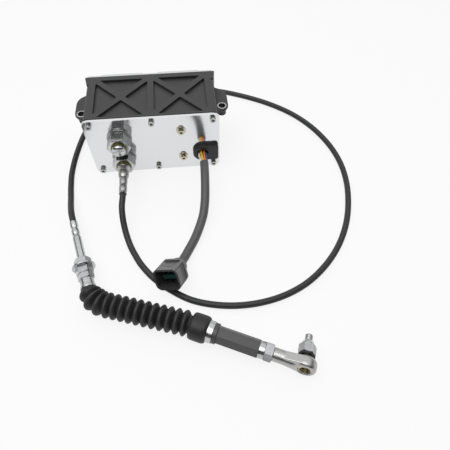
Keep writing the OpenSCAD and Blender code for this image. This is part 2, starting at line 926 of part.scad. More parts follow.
// Route of one lead: out of the motor's end, round a bend, through the outlet, to the sheath
function lead_route(k) =
    let (
        start = lead_across(k, 90),
        bend = lead_bend + start[0],
        turn_x = motor_end + 2,
        turn_y = motor_y - lead_bend,
        ox = lead_bunch * lead_offsets[k][0],
        oz = lead_offsets[k][1]
    )
    concat(
        [[motor_end + move_gap, motor_y + start[0], mid_z + start[2]]],
        [for (a = [0 : 30 : 90]) [turn_x + bend * sin(a), turn_y + bend * cos(a), mid_z + start[2]]],
        [
            [outlet_x + 5.5, turn_y - 15.5, mid_z - 4] + lead_across(k, 60),
            [outlet_x + 1.5, turn_y - 27.5, mid_z - 10] + lead_across(k, 25),
            [outlet_x, plate_back + 8, outlet_z + 0.6] + lead_across(k, 0),
            [outlet_x, plate_front, outlet_z] + lead_across(k, 0),
            [outlet_x, plate_front - grommet_t - 2, outlet_z] + lead_across(k, 0),
            [sheath_x + ox, sheath_start + 3, sheath_z + oz],
            [sheath_x + ox, sheath_start + move_gap, sheath_z + oz]
        ]
    );

module lead_white() {
    color("#e8e6e0") cord(smooth(lead_route(0), 2), lead_d / 2, 8);
}

module lead_yellow() {
    color("#f2d21c") cord(smooth(lead_route(1), 2), lead_d / 2, 8);
}

module lead_orange() {
    color("#f0743a") cord(smooth(lead_route(2), 2), lead_d / 2, 8);
}

module lead_blue() {
    color("#2f6ec2") cord(smooth(lead_route(3), 2), lead_d / 2, 8);
}

module harness_sheath() {
    color("#4a4b4c") cord(smooth(sheath_route, 2), sheath_d / 2, 12);
}

// Places of the six contact pins
module at_pins() {
    for (x = pin_xs, y = pin_ys) translate([x, y, 0]) children();
}

// Outline that narrows toward the connector's rear, with its full width at the front face
module narrowing(w) {
    back = 1 / shell_len;
    rotate([90, 0, 0]) linear_extrude(2 * shell_h, center = true) polygon([
        [-w / 2 - shell_taper * back, -1],
        [w / 2 + shell_taper * back, -1],
        [w / 2 - shell_taper, shell_len],
        [-w / 2 + shell_taper, shell_len]
    ]);
}

module connector_shell() {
    tab = [8, 2, 8];
    inner_w = shell_w - 2 * shell_wall;
    color("#55585a") on_connector() difference() {
        union() {
            intersection() {
                linear_extrude(shell_len) round_rect(shell_w, shell_h, shell_r);
                narrowing(shell_w);
            }
            translate([0, 0, shell_len]) linear_extrude(flange_t)
                round_rect(shell_w - 2 * shell_taper + 1, shell_h + 1, shell_r - 1);
            translate([0, 0, shell_len + flange_t - 0.1]) cylinder(d = boss_d, h = boss_len + 0.1);
            translate([0, shell_h / 2 - 0.2, shell_len / 2 + 2]) cube(tab, center = true);
        }
        intersection() {
            translate([0, 0, -1]) linear_extrude(socket_depth + 1)
                round_rect(inner_w, shell_h - 2 * shell_wall, shell_r - shell_wall);
            narrowing(inner_w);
        }
        at_pins() cylinder(d = pin_d + 2 * press_gap, h = shell_len);
        translate([0, 0, shell_len + flange_t + 1]) cylinder(d = seal_d + 2 * hole_gap, h = boss_len);
    }
}

module connector_wedge() {
    color("#2f6b4f") on_connector() translate([0, 0, wedge_at])
        linear_extrude(socket_depth - wedge_at) round_rect(wedge_w, wedge_h, wedge_r);
}

module connector_pins() {
    color("#c6b06a") on_connector() at_pins() translate([0, 0, pin_at])
        cylinder(d = pin_d, h = shell_len - pin_at);
}

module connector_seal() {
    color("#c9703a") on_connector() translate([0, 0, shell_len + flange_t + 1])
        cylinder(d = seal_d, h = seal_t);
}

// Control cable

module control_cable() {
    color("#303132") cord(smooth(cable_route, 2), cable_d / 2, 10);
}

module far_ferrule() {
    color("#c6c8ca") on_hub(0) ferrule(far_ferrule_len);
}

module hub_tube() {
    thread = hub_nut_back - 1;
    color("#cdd0d2") on_hub(0) difference() {
        union() {
            translate([0, 0, far_ferrule_len]) cylinder(d = hub_d, h = thread - far_ferrule_len + 0.1);
            translate([0, 0, thread]) cylinder(d = hub_thread_d, h = hub_len + 3 - thread);
        }
        translate([0, 0, far_ferrule_len - 1]) cylinder(d = wire_bore_d, h = hub_len);
    }
}

module hub_nuts() {
    color("#d0d2d4") {
        on_hub(hub_nut_back) nut(hub_nut_af, hub_nut_t, hub_thread_d + 2 * hole_gap);
        on_hub(hub_nut_fore) nut(hub_nut_af, hub_nut_t, hub_thread_d + 2 * hole_gap);
    }
}

module hub_washer() {
    color("#c4c6c8") on_hub(hub_washer_at)
        washer(hub_washer_d, hub_thread_d + 2 * hole_gap, hub_washer_t);
}

module hub_lock_nut() {
    color("#b2babd") on_hub(hub_lock_at)
        nut(hub_nut_af - 1, hub_lock_t, hub_thread_d + 2 * hole_gap);
}

module hub_ring() {
    ring_len = hub_len - hub_ring_at;
    color("#dcdde0") on_hub(hub_ring_at) difference() {
        union() {
            cylinder(d = hub_ring_d, h = ring_len);
            translate([0, 0, ring_len - 2.5]) cylinder(d = 2 * valley_r - 1.6, h = 2.5);
        }
        translate([0, 0, -1]) cylinder(d = hub_thread_d + 2 * hole_gap, h = ring_len + 2);
    }
}

// Folded rubber tube, its wall following the folds
module bellows() {
    stations = concat(
        [0, end_step],
        [for (i = [0 : folds - 1], k = [0 : fold_rings - 1]) cuff + (i + k / fold_rings) * fold_pitch],
        [bellows_len - cuff, bellows_len]
    );
    path = [for (s = stations) bellows_point(s)];
    count = len(stations);
    n = bellows_sides;
    radii = [for (s = stations) bellows_radius(s)];
    outer = [for (i = [0 : count - 1], q = ring(path[i], route_dir(path, i), radii[i], n)) q];
    inner = [for (i = [0 : count - 1], q = ring(path[i], route_dir(path, i), radii[i] - rubber_t, n)) q];
    m = count * n;
    end = (count - 1) * n;
    color("#2c2c2d") polyhedron(
        points = concat(outer, inner),
        faces = concat(
            skin(count, n, 0),
            flipped(skin(count, n, m)),
            [for (j = [0 : n - 1]) [j, m + j, m + (j + 1) % n]],
            [for (j = [0 : n - 1]) [j, m + (j + 1) % n, (j + 1) % n]],
            [for (j = [0 : n - 1]) [end + j, end + m + (j + 1) % n, end + m + j]],
            [for (j = [0 : n - 1]) [end + j, end + (j + 1) % n, end + m + (j + 1) % n]]
        )
    );
}

module boot_collar() {
    r = collar_d / 2;
    hole = shank_d / 2 + press_gap;
    color("#262627") along_rod(move_gap) rotate_extrude() polygon([
        [hole, 0],
        [r - 2, 0],
        [r - 0.5, 1.2],
        [r, 3.5],
        [r, collar_len - 3],
        [r - 0.6, collar_len - 1],
        [r - 2.2, collar_len],
        [hole, collar_len]
    ]);
}

module boot_clamp() {
    color("#c3c6c8") along_rod(clamp_at) washer(collar_d - 5, shank_d + 2 * press_gap, clamp_t);
}

module hex_sleeve() {
    lip = 3.5;
    color("#222324") along_rod(sleeve_at) difference() {
        union() {
            cylinder(d = sleeve_af + 4, h = lip);
            linear_extrude(sleeve_len) hex(sleeve_af);
        }
        translate([0, 0, -1]) cylinder(d = shank_d + 2 * hole_gap, h = sleeve_len + 2);
    }
}

module notched_ring() {
    d = sleeve_af + 0.8;
    notch = [2.4, 2.6, 3.2];
    color("#c9c6c2") along_rod(ring_at) difference() {
        washer(d, shank_d + 2 * hole_gap, ring_t);
        for (a = [0, 90, 180, 270]) rotate([0, 0, a + 45]) translate([d / 2, 0, ring_t - 1.5])
            cube(notch, center = true);
    }
}

module lock_nut() {
    color("#bfc2c4") along_rod(nut_at) nut(sleeve_af - 0.2, nut_t, shank_d + 2 * hole_gap);
}

// Half section of the eye, rounded toward its two faces
module eye_profile() {
    r = eye_d / 2;
    h = eye_t / 2;
    polygon([
        [0, -h],
        [r - 2.6, -h],
        [r - 1.2, -h + 0.6],
        [r - 0.4, -h + 1.7],
        [r, -h + 3.4],
        [r, h - 3.4],
        [r - 0.4, h - 1.7],
        [r - 1.2, h - 0.6],
        [r - 2.6, h],
        [0, h]
    ]);
}

module rod_end() {
    shank = 28;
    web_t = 8;
    web_reach = barrel_len - 9;
    web_end = 2;
    barrel_d = eye_t + 1.2;
    taper = 4;
    flat = eye_at - barrel_at - eye_d / 2 + 3;
    color("#a9abad") difference() {
        union() {
            along_rod(barrel_at - shank) cylinder(d = shank_d, h = shank + 0.1);
            along_rod(barrel_at) cylinder(d = barrel_d, h = flat - taper);
            along_rod(barrel_at + flat - taper - 0.1) cylinder(d1 = barrel_d, d2 = eye_t - 1, h = taper);
            across_eye() {
                rotate_extrude() eye_profile();
                linear_extrude(web_t, center = true) polygon([
                    [-web_reach, -barrel_d / 2 + 0.6],
                    [-web_end, -eye_d / 2 + 0.5],
                    [-web_end, eye_d / 2 - 0.5],
                    [-web_reach, barrel_d / 2 - 0.6]
                ]);
            }
        }
        across_eye() {
            translate([0, 0, -eye_t / 2 - 1])
                cylinder(d = liner_d + 2 * press_gap, h = eye_t / 2 + 1 + liner_t / 2 + press_gap);
            cylinder(d = lip_d, h = eye_t + 2, center = true);
        }
    }
}

module race_liner() {
    color("#b99b52") across_eye() difference() {
        cylinder(d = liner_d, h = liner_t, center = true);
        sphere(d = ball_d + 2 * run_clear);
    }
}

module ball_stud() {
    flat = liner_t / 2 + 0.2;
    tool_hole_d = 5;
    washer_end = seal_face + stud_nut_t + stud_washer_t;
    color("#c2c4c6") on_stud() difference() {
        union() {
            sphere(d = ball_d);
            cylinder(d = neck_d, h = seal_face - 1.5);
            translate([0, 0, seal_face - 1.6]) cylinder(d = stud_d, h = washer_end - seal_face + 1.6);
            translate([0, 0, washer_end - 0.1]) cylinder(d = stud_tip_d, h = stud_len - 0.7 - washer_end);
            translate([0, 0, stud_len - 0.8]) cylinder(d1 = stud_tip_d, d2 = stud_tip_d - 1.6, h = 0.8);
        }
        translate([0, 0, -flat - ball_d]) cylinder(d = 2 * ball_d, h = ball_d);
        translate([0, 0, -flat - 1]) cylinder(d = tool_hole_d, h = 4);
    }
}

module dust_seal() {
    color("#171718") on_stud() difference() {
        translate([0, 0, eye_t / 2 + 1]) cylinder(d = dust_seal_d, h = seal_face - eye_t / 2 - 1);
        sphere(r = seal_ball_r);
        cylinder(d = stud_d + 2 * press_gap, h = seal_face + 1);
    }
}

module stud_nut() {
    color("#c6c8ca") on_stud() translate([0, 0, seal_face])
        nut(1.7 * stud_d, stud_nut_t, stud_d + 2 * hole_gap);
}

module stud_washer() {
    color("#cdcfd1") on_stud() translate([0, 0, seal_face + stud_nut_t])
        washer(1.4 * stud_d, stud_d + 2 * hole_gap, stud_washer_t);
}

module pull_rod() {
    into_sleeve = sleeve_at + 18;
    color("#b7b9bb") difference() {
        union() {
            along_rod(rod_tip) cylinder(d = rod_d, h = move_gap - rod_tip + 0.1);
            along_rod(move_gap) cylinder(d = shank_d, h = into_sleeve - move_gap);
        }
        along_rod(rod_tip - 1) cylinder(d = wire_bore_d, h = rod_bore + 1);
    }
}

module inner_wire_near() {
    color("#a3a5a7") to_front(drum_y) translate([port_x, port_zs[0], -2])
        cylinder(d = wire_d, h = drum_y - cable_start + 2);
}

module inner_wire_far() {
    route = concat(
        [hub_at, hub_at + 40 * hub_dir],
        [for (k = [0 : 6]) bellows_point(arc_1 * k / 6)],
        [bellows_point(arc_1 + 0.3 * run_len), rod_at - 34 * rod_dir, rod_at + (rod_tip + 3) * rod_dir]
    );
    color("#a3a5a7") cord(route, wire_d / 2, 8);
}

// Drive inside the housing

module gear_frame() {
    web = frame_right - frame_left;
    cheek = frame_right - frame_t;
    side = [frame_t, frame_rear - plate_back, frame_high - frame_low];
    color("#7d8184") difference() {
        union() {
            translate([frame_left, plate_back, frame_low]) cube([web, frame_t, side[2]]);
            translate([frame_left, plate_back, frame_low]) cube(side);
            translate([cheek, plate_back, frame_low]) cube(side);
        }
        to_front(plate_back + frame_t + 1) at_ports() cylinder(d = port_d + 2 * hole_gap, h = frame_t + 2);
        at_drum(frame_left - 1) cylinder(d = bush_out_d + 2 * press_gap, h = web + 2);
        at_motor(cheek - 1) cylinder(d = pilot_d + 2 * hole_gap, h = frame_t + 2);
    }
}

// Flanged bush along local Z with its flange at the far end
module flanged_bush() {
    difference() {
        union() {
            cylinder(d = bush_out_d, h = frame_t);
            translate([0, 0, frame_t]) cylinder(d = bush_out_d + 3, h = bush_flange_t);
        }
        translate([0, 0, -1]) cylinder(d = shaft_d + 2 * run_clear, h = frame_t + bush_flange_t + 2);
    }
}

module shaft_bushes() {
    color("#b08d4a") {
        at_drum(frame_left) flanged_bush();
        at_drum(frame_right) mirror([0, 0, 1]) flanged_bush();
    }
}

module output_shaft() {
    start = frame_left - 3;
    color("#a8abae") {
        at_drum(start) cylinder(d = shaft_d, h = frame_right + 1 - start);
        at_drum(drum_right) cylinder(d = shaft_d + 5, h = gear_left - drum_right);
    }
}

module output_gear() {
    color("#9aa0a3") at_drum(gear_left) linear_extrude(gear_w) difference() {
        gear_outline(gear_teeth);
        circle(d = shaft_d + 2 * press_gap);
    }
}

module cable_drum() {
    rim_r = drum_r + 2.5;
    floor_r = drum_r - wire_d / 2;
    half = wire_d / 2 + hole_gap;
    color("#8f9497") at_drum(drum_left) difference() {
        cylinder(r = rim_r, h = drum_w);
        translate([0, 0, -1]) cylinder(d = shaft_d + 2 * press_gap, h = drum_w + 2);
        for (k = [0, 1]) translate([0, 0, drum_w / 2 + k * groove_step - half]) difference() {
            cylinder(r = rim_r + 1, h = 2 * half);
            translate([0, 0, -1]) cylinder(r = floor_r - (1 - k) * move_gap, h = 2 * half + 2);
        }
    }
}

module drum_wire() {
    color("#a3a5a7") at_drum(drum_x + groove_step) rotate_extrude()
        translate([drum_r, 0]) circle(d = wire_d);
}

module position_sensor() {
    color("#2f4a3a") at_drum(frame_left - sensor_t) difference() {
        union() {
            cylinder(d = sensor_d, h = sensor_t);
            translate([-5, sensor_d / 2 - 1, 0]) cube([10, 5, sensor_t]);
        }
        translate([0, 0, sensor_t - 3.5]) cylinder(d = shaft_d + 2 * run_clear, h = 4);
    }
}

module drive_motor() {
    pilot = frame_t - 0.5;
    color("#5d6063") at_motor(frame_right) difference() {
        union() {
            cylinder(d = motor_d, h = motor_len);
            translate([0, 0, -pilot]) cylinder(d = pilot_d, h = pilot + 0.1);
            translate([0, 0, motor_len - 0.1]) cylinder(d = 0.75 * motor_d, h = motor_cap + 0.1);
        }
        translate([0, 0, -pilot - 1]) cylinder(d = rotor_d + 2 * run_clear, h = pilot + rotor_in + 2);
    }
}

module motor_pinion() {
    start = gear_left - 1;
    color("#b3b6b8") at_motor(0) {
        translate([0, 0, start]) cylinder(d = rotor_d, h = frame_right + rotor_in - start);
        translate([0, 0, gear_left + 0.5]) rotate([0, 0, 180 / pinion_teeth]) linear_extrude(gear_w - 1)
            gear_outline(pinion_teeth);
    }
}

module motor_bracket() {
    left = motor_screw_x - bracket_w / 2;
    low = frame_low - 2;
    color("#7d8184") difference() {
        translate([left, plate_back, low]) cube([bracket_w, motor_y + 4 - plate_back, body_h - 2 * low]);
        at_motor(left - 1) cylinder(d = motor_d + 2 * press_gap, h = bracket_w + 2);
        to_front(plate_back + screw_depth + 1) for (z = motor_screw_zs) translate([motor_screw_x, z])
            cylinder(d = screw_d, h = screw_depth + 2);
    }
}

housing();
front_plate();
front_gasket();
rear_cover();
rear_gasket();
plate_screws();
rear_screws();
ear_bushes();
motor_screws();
motor_washers();
port_bodies();
port_nuts();
port_washers();
port_plug();
cable_swivel();
near_ferrule();
wire_grommet();
lead_white();
lead_yellow();
lead_orange();
lead_blue();
harness_sheath();
connector_shell();
connector_wedge();
connector_pins();
connector_seal();
control_cable();
far_ferrule();
hub_tube();
hub_nuts();
hub_washer();
hub_lock_nut();
hub_ring();
bellows();
boot_collar();
boot_clamp();
hex_sleeve();
notched_ring();
lock_nut();
rod_end();
race_liner();
ball_stud();
dust_seal();
stud_nut();
stud_washer();
pull_rod();
inner_wire_near();
inner_wire_far();
gear_frame();
shaft_bushes();
output_shaft();
output_gear();
cable_drum();
drum_wire();
position_sensor();
drive_motor();
motor_pinion();
motor_bracket();
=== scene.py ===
"""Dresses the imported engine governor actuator: finishes, rounded edges, threads, bellows and cables."""
import json
import logging
from dataclasses import dataclass, field
from enum import Enum
from math import asin, atan2, cos, degrees, floor, hypot, pi, radians, sin, sqrt
from typing import Callable, Optional, Sequence

import bmesh
import bpy
from bmesh.types import BMEdge, BMesh
from bpy.types import MeshPolygon as Face, NodeSocket as Socket, Object as Piece
from mathutils import Matrix, Vector

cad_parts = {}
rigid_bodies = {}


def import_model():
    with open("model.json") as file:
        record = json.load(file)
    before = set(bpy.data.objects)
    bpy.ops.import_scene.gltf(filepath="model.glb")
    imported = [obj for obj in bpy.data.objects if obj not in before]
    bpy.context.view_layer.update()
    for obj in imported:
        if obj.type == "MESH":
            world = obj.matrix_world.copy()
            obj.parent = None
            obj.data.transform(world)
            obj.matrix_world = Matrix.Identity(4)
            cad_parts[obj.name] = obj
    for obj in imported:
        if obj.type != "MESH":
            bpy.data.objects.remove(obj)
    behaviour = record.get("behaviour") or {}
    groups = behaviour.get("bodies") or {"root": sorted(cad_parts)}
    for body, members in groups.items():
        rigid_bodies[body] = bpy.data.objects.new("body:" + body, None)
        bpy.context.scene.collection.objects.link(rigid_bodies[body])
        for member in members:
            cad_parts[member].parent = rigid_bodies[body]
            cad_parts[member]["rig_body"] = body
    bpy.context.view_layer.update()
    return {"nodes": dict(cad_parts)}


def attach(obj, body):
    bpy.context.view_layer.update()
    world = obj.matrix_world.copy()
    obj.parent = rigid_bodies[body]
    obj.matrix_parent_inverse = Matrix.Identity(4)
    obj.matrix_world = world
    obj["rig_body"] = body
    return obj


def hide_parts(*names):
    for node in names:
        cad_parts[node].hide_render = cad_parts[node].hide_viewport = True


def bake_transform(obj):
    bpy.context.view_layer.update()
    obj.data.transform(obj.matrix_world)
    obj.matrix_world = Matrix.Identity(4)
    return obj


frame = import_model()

log = logging.getLogger("actuator")
NODES: dict[str, Piece] = frame["nodes"]
MM = 0.001
UP = Vector((0, 0, 1))
Colour = tuple[float, float, float]
Point = tuple[float, float, float]
Profile = Sequence[tuple[float, float]]


def mm(point: Sequence[float]) -> Vector:
    """Turns a place in millimetres into metres."""
    return Vector(point) * MM


# ---------------------------------------------------------------- places shared with the solids

PORT_X = -36.5
LOW_PORT_Z = 24.5
HIGH_PORT_Z = 52.5
PORT_FRONT = -56.0
STEM_BACK = -46.0
COLLAR_FRONT = -71.5
CABLE_START = -87.5
CABLE_FLOOR = 3.4
CABLE_D, SHEATH_D = 6.5, 9.5
HUB_AT = Vector((-89.0, -116.3, 12.6))
HUB_TURN = -74.2
HUB_LEN = 81.0
BEND_1, BEND_R1 = 55.2, 26.2
RUN_LEN = 74.5
BEND_2, BEND_R2 = -6.5, 60.0
EYE_AT = 104.5
STUD_TILT = 4.0
EYE_ROLL = 11.0
POCKET_FLOOR, POCKET_HALF, POCKET_Y = 73.9, 61.0, (-32.0, 28.5)
EAR_FROM, EAR_Z, EAR_HOLE, EAR_HOLE_R = 70.3, (55.5, 61.0), (77.5, -5.5), 5.5


def heading(turn: float) -> Vector:
    """Unit vector on the floor at an angle in degrees."""
    return Vector((cos(radians(turn)), sin(radians(turn)), 0.0))


HUB_DIR = heading(HUB_TURN)
BELLOWS_AT = HUB_AT + HUB_LEN * HUB_DIR
ARC_1 = BEND_R1 * radians(BEND_1)
ARC_2 = -BEND_R2 * radians(BEND_2)
BELLOWS_LEN = ARC_1 + RUN_LEN + ARC_2
ROD_TURN = HUB_TURN + BEND_1 + BEND_2
ROD_DIR = heading(ROD_TURN)


def bend(turn: float, radius: float, length: float, side: int) -> tuple[Vector, float]:
    """Follows a bend on the floor.

    Args:
        turn: heading at its start, in degrees.
        radius: of the bend, in millimetres.
        length: along the bend.
        side: 1 to the left, -1 to the right.
    Returns:
        The step from its start in millimetres and the heading in degrees.
    """
    a = length / radius
    step = Vector((radius * sin(a), side * radius * (1 - cos(a)), 0))
    return Matrix.Rotation(radians(turn), 3, "Z") @ step, turn + side * degrees(a)


def bellows_line(s: float) -> tuple[Vector, float]:
    """Follows the middle line of the bellows.

    Args:
        s: length from the hub, in millimetres.
    Returns:
        The place in millimetres and the heading in degrees.
    """
    step, turn = bend(HUB_TURN, BEND_R1, min(s, ARC_1), 1)
    if s <= ARC_1:
        return BELLOWS_AT + step, turn
    run = s - ARC_1
    at = BELLOWS_AT + step + min(run, RUN_LEN) * heading(turn)
    if run <= RUN_LEN:
        return at, turn
    step, turn = bend(turn, BEND_R2, run - RUN_LEN, -1)
    return at + step, turn


ROD_AT = bellows_line(BELLOWS_LEN)[0]
EYE = ROD_AT + EYE_AT * ROD_DIR
EYE_AXIS = cos(radians(EYE_ROLL)) * heading(ROD_TURN + 90) - sin(radians(EYE_ROLL)) * UP
STUD_DIR = cos(radians(STUD_TILT)) * EYE_AXIS - sin(radians(STUD_TILT)) * ROD_DIR


def along(origin: Sequence[float], direction: Vector) -> Matrix:
    """Placement whose local Z runs along a direction that is not upright.

    Args:
        origin: start in millimetres.
        direction: unit vector of local Z.
    Returns:
        A matrix that places a shape given in millimetres, in metres.
    """
    side = direction.cross(UP).normalized()
    turn = Matrix((-side, side.cross(direction), direction)).transposed().to_4x4()
    return Matrix.Translation(mm(origin)) @ turn @ Matrix.Scale(MM, 4)


def to_front(x: float, y: float, z: float) -> Matrix:
    """Placement whose local Z leaves the front plate."""
    return along((x, y, z), Vector((0, -1, 0)))


ON_HUB = along(HUB_AT, HUB_DIR)
ON_STUD = along(EYE, STUD_DIR)


# ---------------------------------------------------------------- mesh tools

SHARP_DEG = 28.0


def linked(name: str, data: bpy.types.ID) -> Piece:
    """Makes an object of some data and puts it in the scene.

    Args:
        name: object name.
        data: its mesh, curve, camera or lamp.
    Returns:
        The object.
    """
    obj = bpy.data.objects.new(name, data)
    bpy.context.scene.collection.objects.link(obj)
    return obj


def finish_mesh(bm: BMesh, name: str, smooth_deg: float = 35.0) -> Piece:
    """Makes an object of a bmesh, closed and facing out.

    Args:
        bm: the mesh in work, which is freed.
        name: piece name.
        smooth_deg: edges flatter than this shade smooth.
    Returns:
        The linked object.
    """
    bmesh.ops.recalc_face_normals(bm, faces=bm.faces[:])
    mesh = bpy.data.meshes.new(name)
    bm.to_mesh(mesh)
    bm.free()
    mesh.polygons.foreach_set("use_smooth", [True] * len(mesh.polygons))
    mesh.set_sharp_from_angle(angle=radians(smooth_deg))
    return linked(name, mesh)


def lathe(bm: BMesh, profile: Profile, place: Matrix, steps: int = 48) -> None:
    """Spins a profile about local Z into a closed skin.

    Args:
        bm: mesh that takes the shape.
        profile: radius and height pairs in millimetres, from the axis or closed on itself.
        place: placement of local Z.
        steps: sides of the turned shape.
    """
    part = bmesh.new()
    verts = [part.verts.new((r, 0, z)) for r, z in profile]
    pairs = list(zip(verts, verts[1:]))
    if profile[0][0] > 1e-6:
        pairs.append((verts[-1], verts[0]))
    edges = [part.edges.new(pair) for pair in pairs]
    bmesh.ops.spin(part, geom=verts + edges, cent=(0, 0, 0), axis=(0, 0, 1), dvec=(0, 0, 0),
                   angle=2 * pi, steps=steps, use_merge=True, use_duplicate=False)
    bmesh.ops.remove_doubles(part, verts=part.verts[:], dist=1e-4)
    merge_into(bm, part, place)


def merge_into(bm: BMesh, part: BMesh, place: Matrix) -> None:
    """Places one closed skin, adds it to another mesh and frees it.

    Args:
        bm: mesh that takes the skin.
        part: the skin, freed here.
        place: placement of the skin.
    """
    bmesh.ops.recalc_face_normals(part, faces=part.faces[:])
    bmesh.ops.transform(part, matrix=place, verts=part.verts[:])
    scratch = bpy.data.meshes.new("scratch")
    part.to_mesh(scratch)
    part.free()
    bm.from_mesh(scratch)
    bpy.data.meshes.remove(scratch)


def thread(bm: BMesh, radius: float, start: float, end: float, pitch: float, place: Matrix,
           depth: float = 0.45, steps: int = 36, core: float = 0.0) -> None:
    """Adds a screw thread as one closed helical skin.

    Args:
        bm: mesh that takes the thread.
        radius: crest radius in millimetres.
        start: where the thread begins along local Z.
        end: where it ends.
        pitch: height of one turn.
        place: placement of local Z.
        depth: crest to root.
        steps: sides in one turn.
        core: radius of a bore through the thread, or 0.
    """
    part = bmesh.new()
    turns = int((end - start) / pitch) + 3
    shape = ((radius - depth, 0.0), (radius - 0.08, 0.42), (radius - 0.08, 0.58))
    verts = [part.verts.new((r, 0, start - pitch + (k + h) * pitch)) for k in range(turns) for r, h in shape]
    edges = [part.edges.new(pair) for pair in zip(verts, verts[1:])]
    bmesh.ops.spin(part, geom=verts + edges, cent=(0, 0, 0), axis=(0, 0, 1),
                   dvec=(0, 0, pitch / steps), angle=2 * pi, steps=steps,
                   use_merge=False, use_duplicate=False)
    bmesh.ops.remove_doubles(part, verts=part.verts[:], dist=1e-3)
    for z, normal in ((start, (0, 0, -1)), (end, (0, 0, 1))):
        bmesh.ops.bisect_plane(part, geom=part.verts[:] + part.edges[:] + part.faces[:],
                               plane_co=(0, 0, z), plane_no=normal, clear_outer=True)
    rims = [e for e in part.edges if e.is_boundary]
    if core <= 0:
        bmesh.ops.holes_fill(part, edges=rims)
    else:
        bore = bmesh.ops.create_cone(part, cap_ends=False, segments=steps, radius1=core, radius2=core,
                                     depth=end - start, matrix=Matrix.Translation((0, 0, (start + end) / 2)))
        inner = list({e for v in bore["verts"] for e in v.link_edges if e.is_boundary})
        for z in (start, end):
            ring = [e for e in rims + inner if all(abs(v.co.z - z) < 1e-3 for v in e.verts)]
            bmesh.ops.triangle_fill(part, edges=ring, use_beauty=True)
    merge_into(bm, part, place)


def node_copy(node: str) -> BMesh:
    """Merged copy of a CAD node's mesh with its flat faces joined.

    Args:
        node: name of the CAD node.
    Returns:
        The mesh in work.
    """
    bm = bmesh.new()
    bm.from_mesh(NODES[node].data)
    bmesh.ops.remove_doubles(bm, verts=bm.verts[:], dist=2e-6)
    bmesh.ops.dissolve_limit(bm, angle_limit=radians(0.6), verts=bm.verts[:], edges=bm.edges[:],
                             use_dissolve_boundaries=False, delimit=set())
    return bm


def round_edges(bm: BMesh, width: float, segments: int = 2,
                test: Optional[Callable[[BMEdge], bool]] = None) -> None:
    """Rounds the sharp edges of a mesh.

    Args:
        bm: mesh to work on.
        width: size of the rounding in millimetres.
        segments: steps across the rounding.
        test: optional choice among the edges sharper than SHARP_DEG.
    """
    sharp = [e for e in bm.edges if len(e.link_faces) == 2 and e.calc_face_angle(0.0) > radians(SHARP_DEG)
             and (test is None or test(e))]
    bmesh.ops.bevel(bm, geom=sharp, offset=width * MM, offset_type="OFFSET", affect="EDGES", segments=segments,
                    profile=0.5, material=-1, clamp_overlap=True, loop_slide=True)
    bmesh.ops.remove_doubles(bm, verts=bm.verts[:], dist=2e-6)


def dressed(node: str, finish: "Finish", width: float, segments: int = 2) -> Piece:
    """Copy of a CAD node with its sharp edges rounded and a finish on it.

    Args:
        node: CAD node to stand for.
        finish: its surface.
        width: size of the rounding in millimetres.
        segments: steps across the rounding.
    Returns:
        The new piece, riding where the node rides.
    """
    bm = node_copy(node)
    round_edges(bm, width, segments)
    obj = settled(bm, node)
    finish.dress(obj)
    return obj


def turned(name: str, node: str, profile: Profile, place: Matrix, finish: "Finish", steps: int = 56,
           smooth_deg: float = 35.0) -> Piece:
    """Turned piece that stands for a CAD node.

    Args:
        name: piece name.
        node: CAD node to stand for.
        profile: radius and height pairs in millimetres.
        place: placement of its axis.
        finish: its surface.
        steps: sides around.
        smooth_deg: edges flatter than this shade smooth.
    Returns:
        The dressed piece.
    """
    bm = bmesh.new()
    lathe(bm, profile, place, steps)
    obj = stand_for(finish_mesh(bm, name, smooth_deg), node)
    finish.dress(obj)
    return obj


def settled(bm: BMesh, node: str) -> Piece:
    """Makes a piece of a rounded copy, its flat faces shaded flat.

    Args:
        bm: the rounded copy, which is freed.
        node: CAD node to stand for.
    Returns:
        The new piece, riding where the node rides.
    """
    obj = finish_mesh(bm, node + "_eased", 32.0)
    weighted = obj.modifiers.new("flat faces", "WEIGHTED_NORMAL")
    weighted.mode, weighted.weight, weighted.keep_sharp = "FACE_AREA", 50, True
    return stand_for(obj, node)


def paint_flat_shade(obj: Piece, axis: Vector, tones: Sequence[float]) -> None:
    """Writes painted shade for each flat of a nut, standing in for light and reflection that differ from flat to flat.

    Args:
        obj: the nut.
        axis: unit vector along it.
        tones: painted darkness of the flats in turn, from the first at or past straight up.
    """
    up = (UP - axis.z * axis).normalized()
    side = axis.cross(up)
    step = 360 / len(tones)

    def turn(face: Face) -> float:
        """Angle of a face about the axis, from straight up."""
        return degrees(atan2(face.normal.dot(side), face.normal.dot(up)))

    flats = [face for face in obj.data.polygons if abs(face.normal.dot(axis)) < 0.1]
    first = (turn(max(flats, key=lambda face: face.area)) + 5) % step - 5
    values = [0.0] * len(obj.data.polygons)
    for face in flats:
        values[face.index] = tones[round((turn(face) - first) / step) % len(tones)]
    obj.data.attributes.new("flat_shade", "FLOAT", "FACE").data.foreach_set("value", values)


def two_tone(obj: Piece, finish: "Finish", test: Callable[[Face], bool]) -> None:
    """Gives some faces of a piece a second finish.

    Args:
        obj: a piece that is already dressed.
        finish: the second finish.
        test: picks the faces that take it.
    """
    obj.data.materials.append(finish.material())
    for face in obj.data.polygons:
        face.material_index = int(test(face))


def stand_for(obj: Piece, node: str) -> Piece:
    """Lets a piece ride with and replace its CAD node.

    Args:
        obj: the piece.
        node: CAD node that it replaces.
    Returns:
        The same piece.
    """
    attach(obj, NODES[node]["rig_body"])
    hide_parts(node)
    return obj


# ---------------------------------------------------------------- shader tools

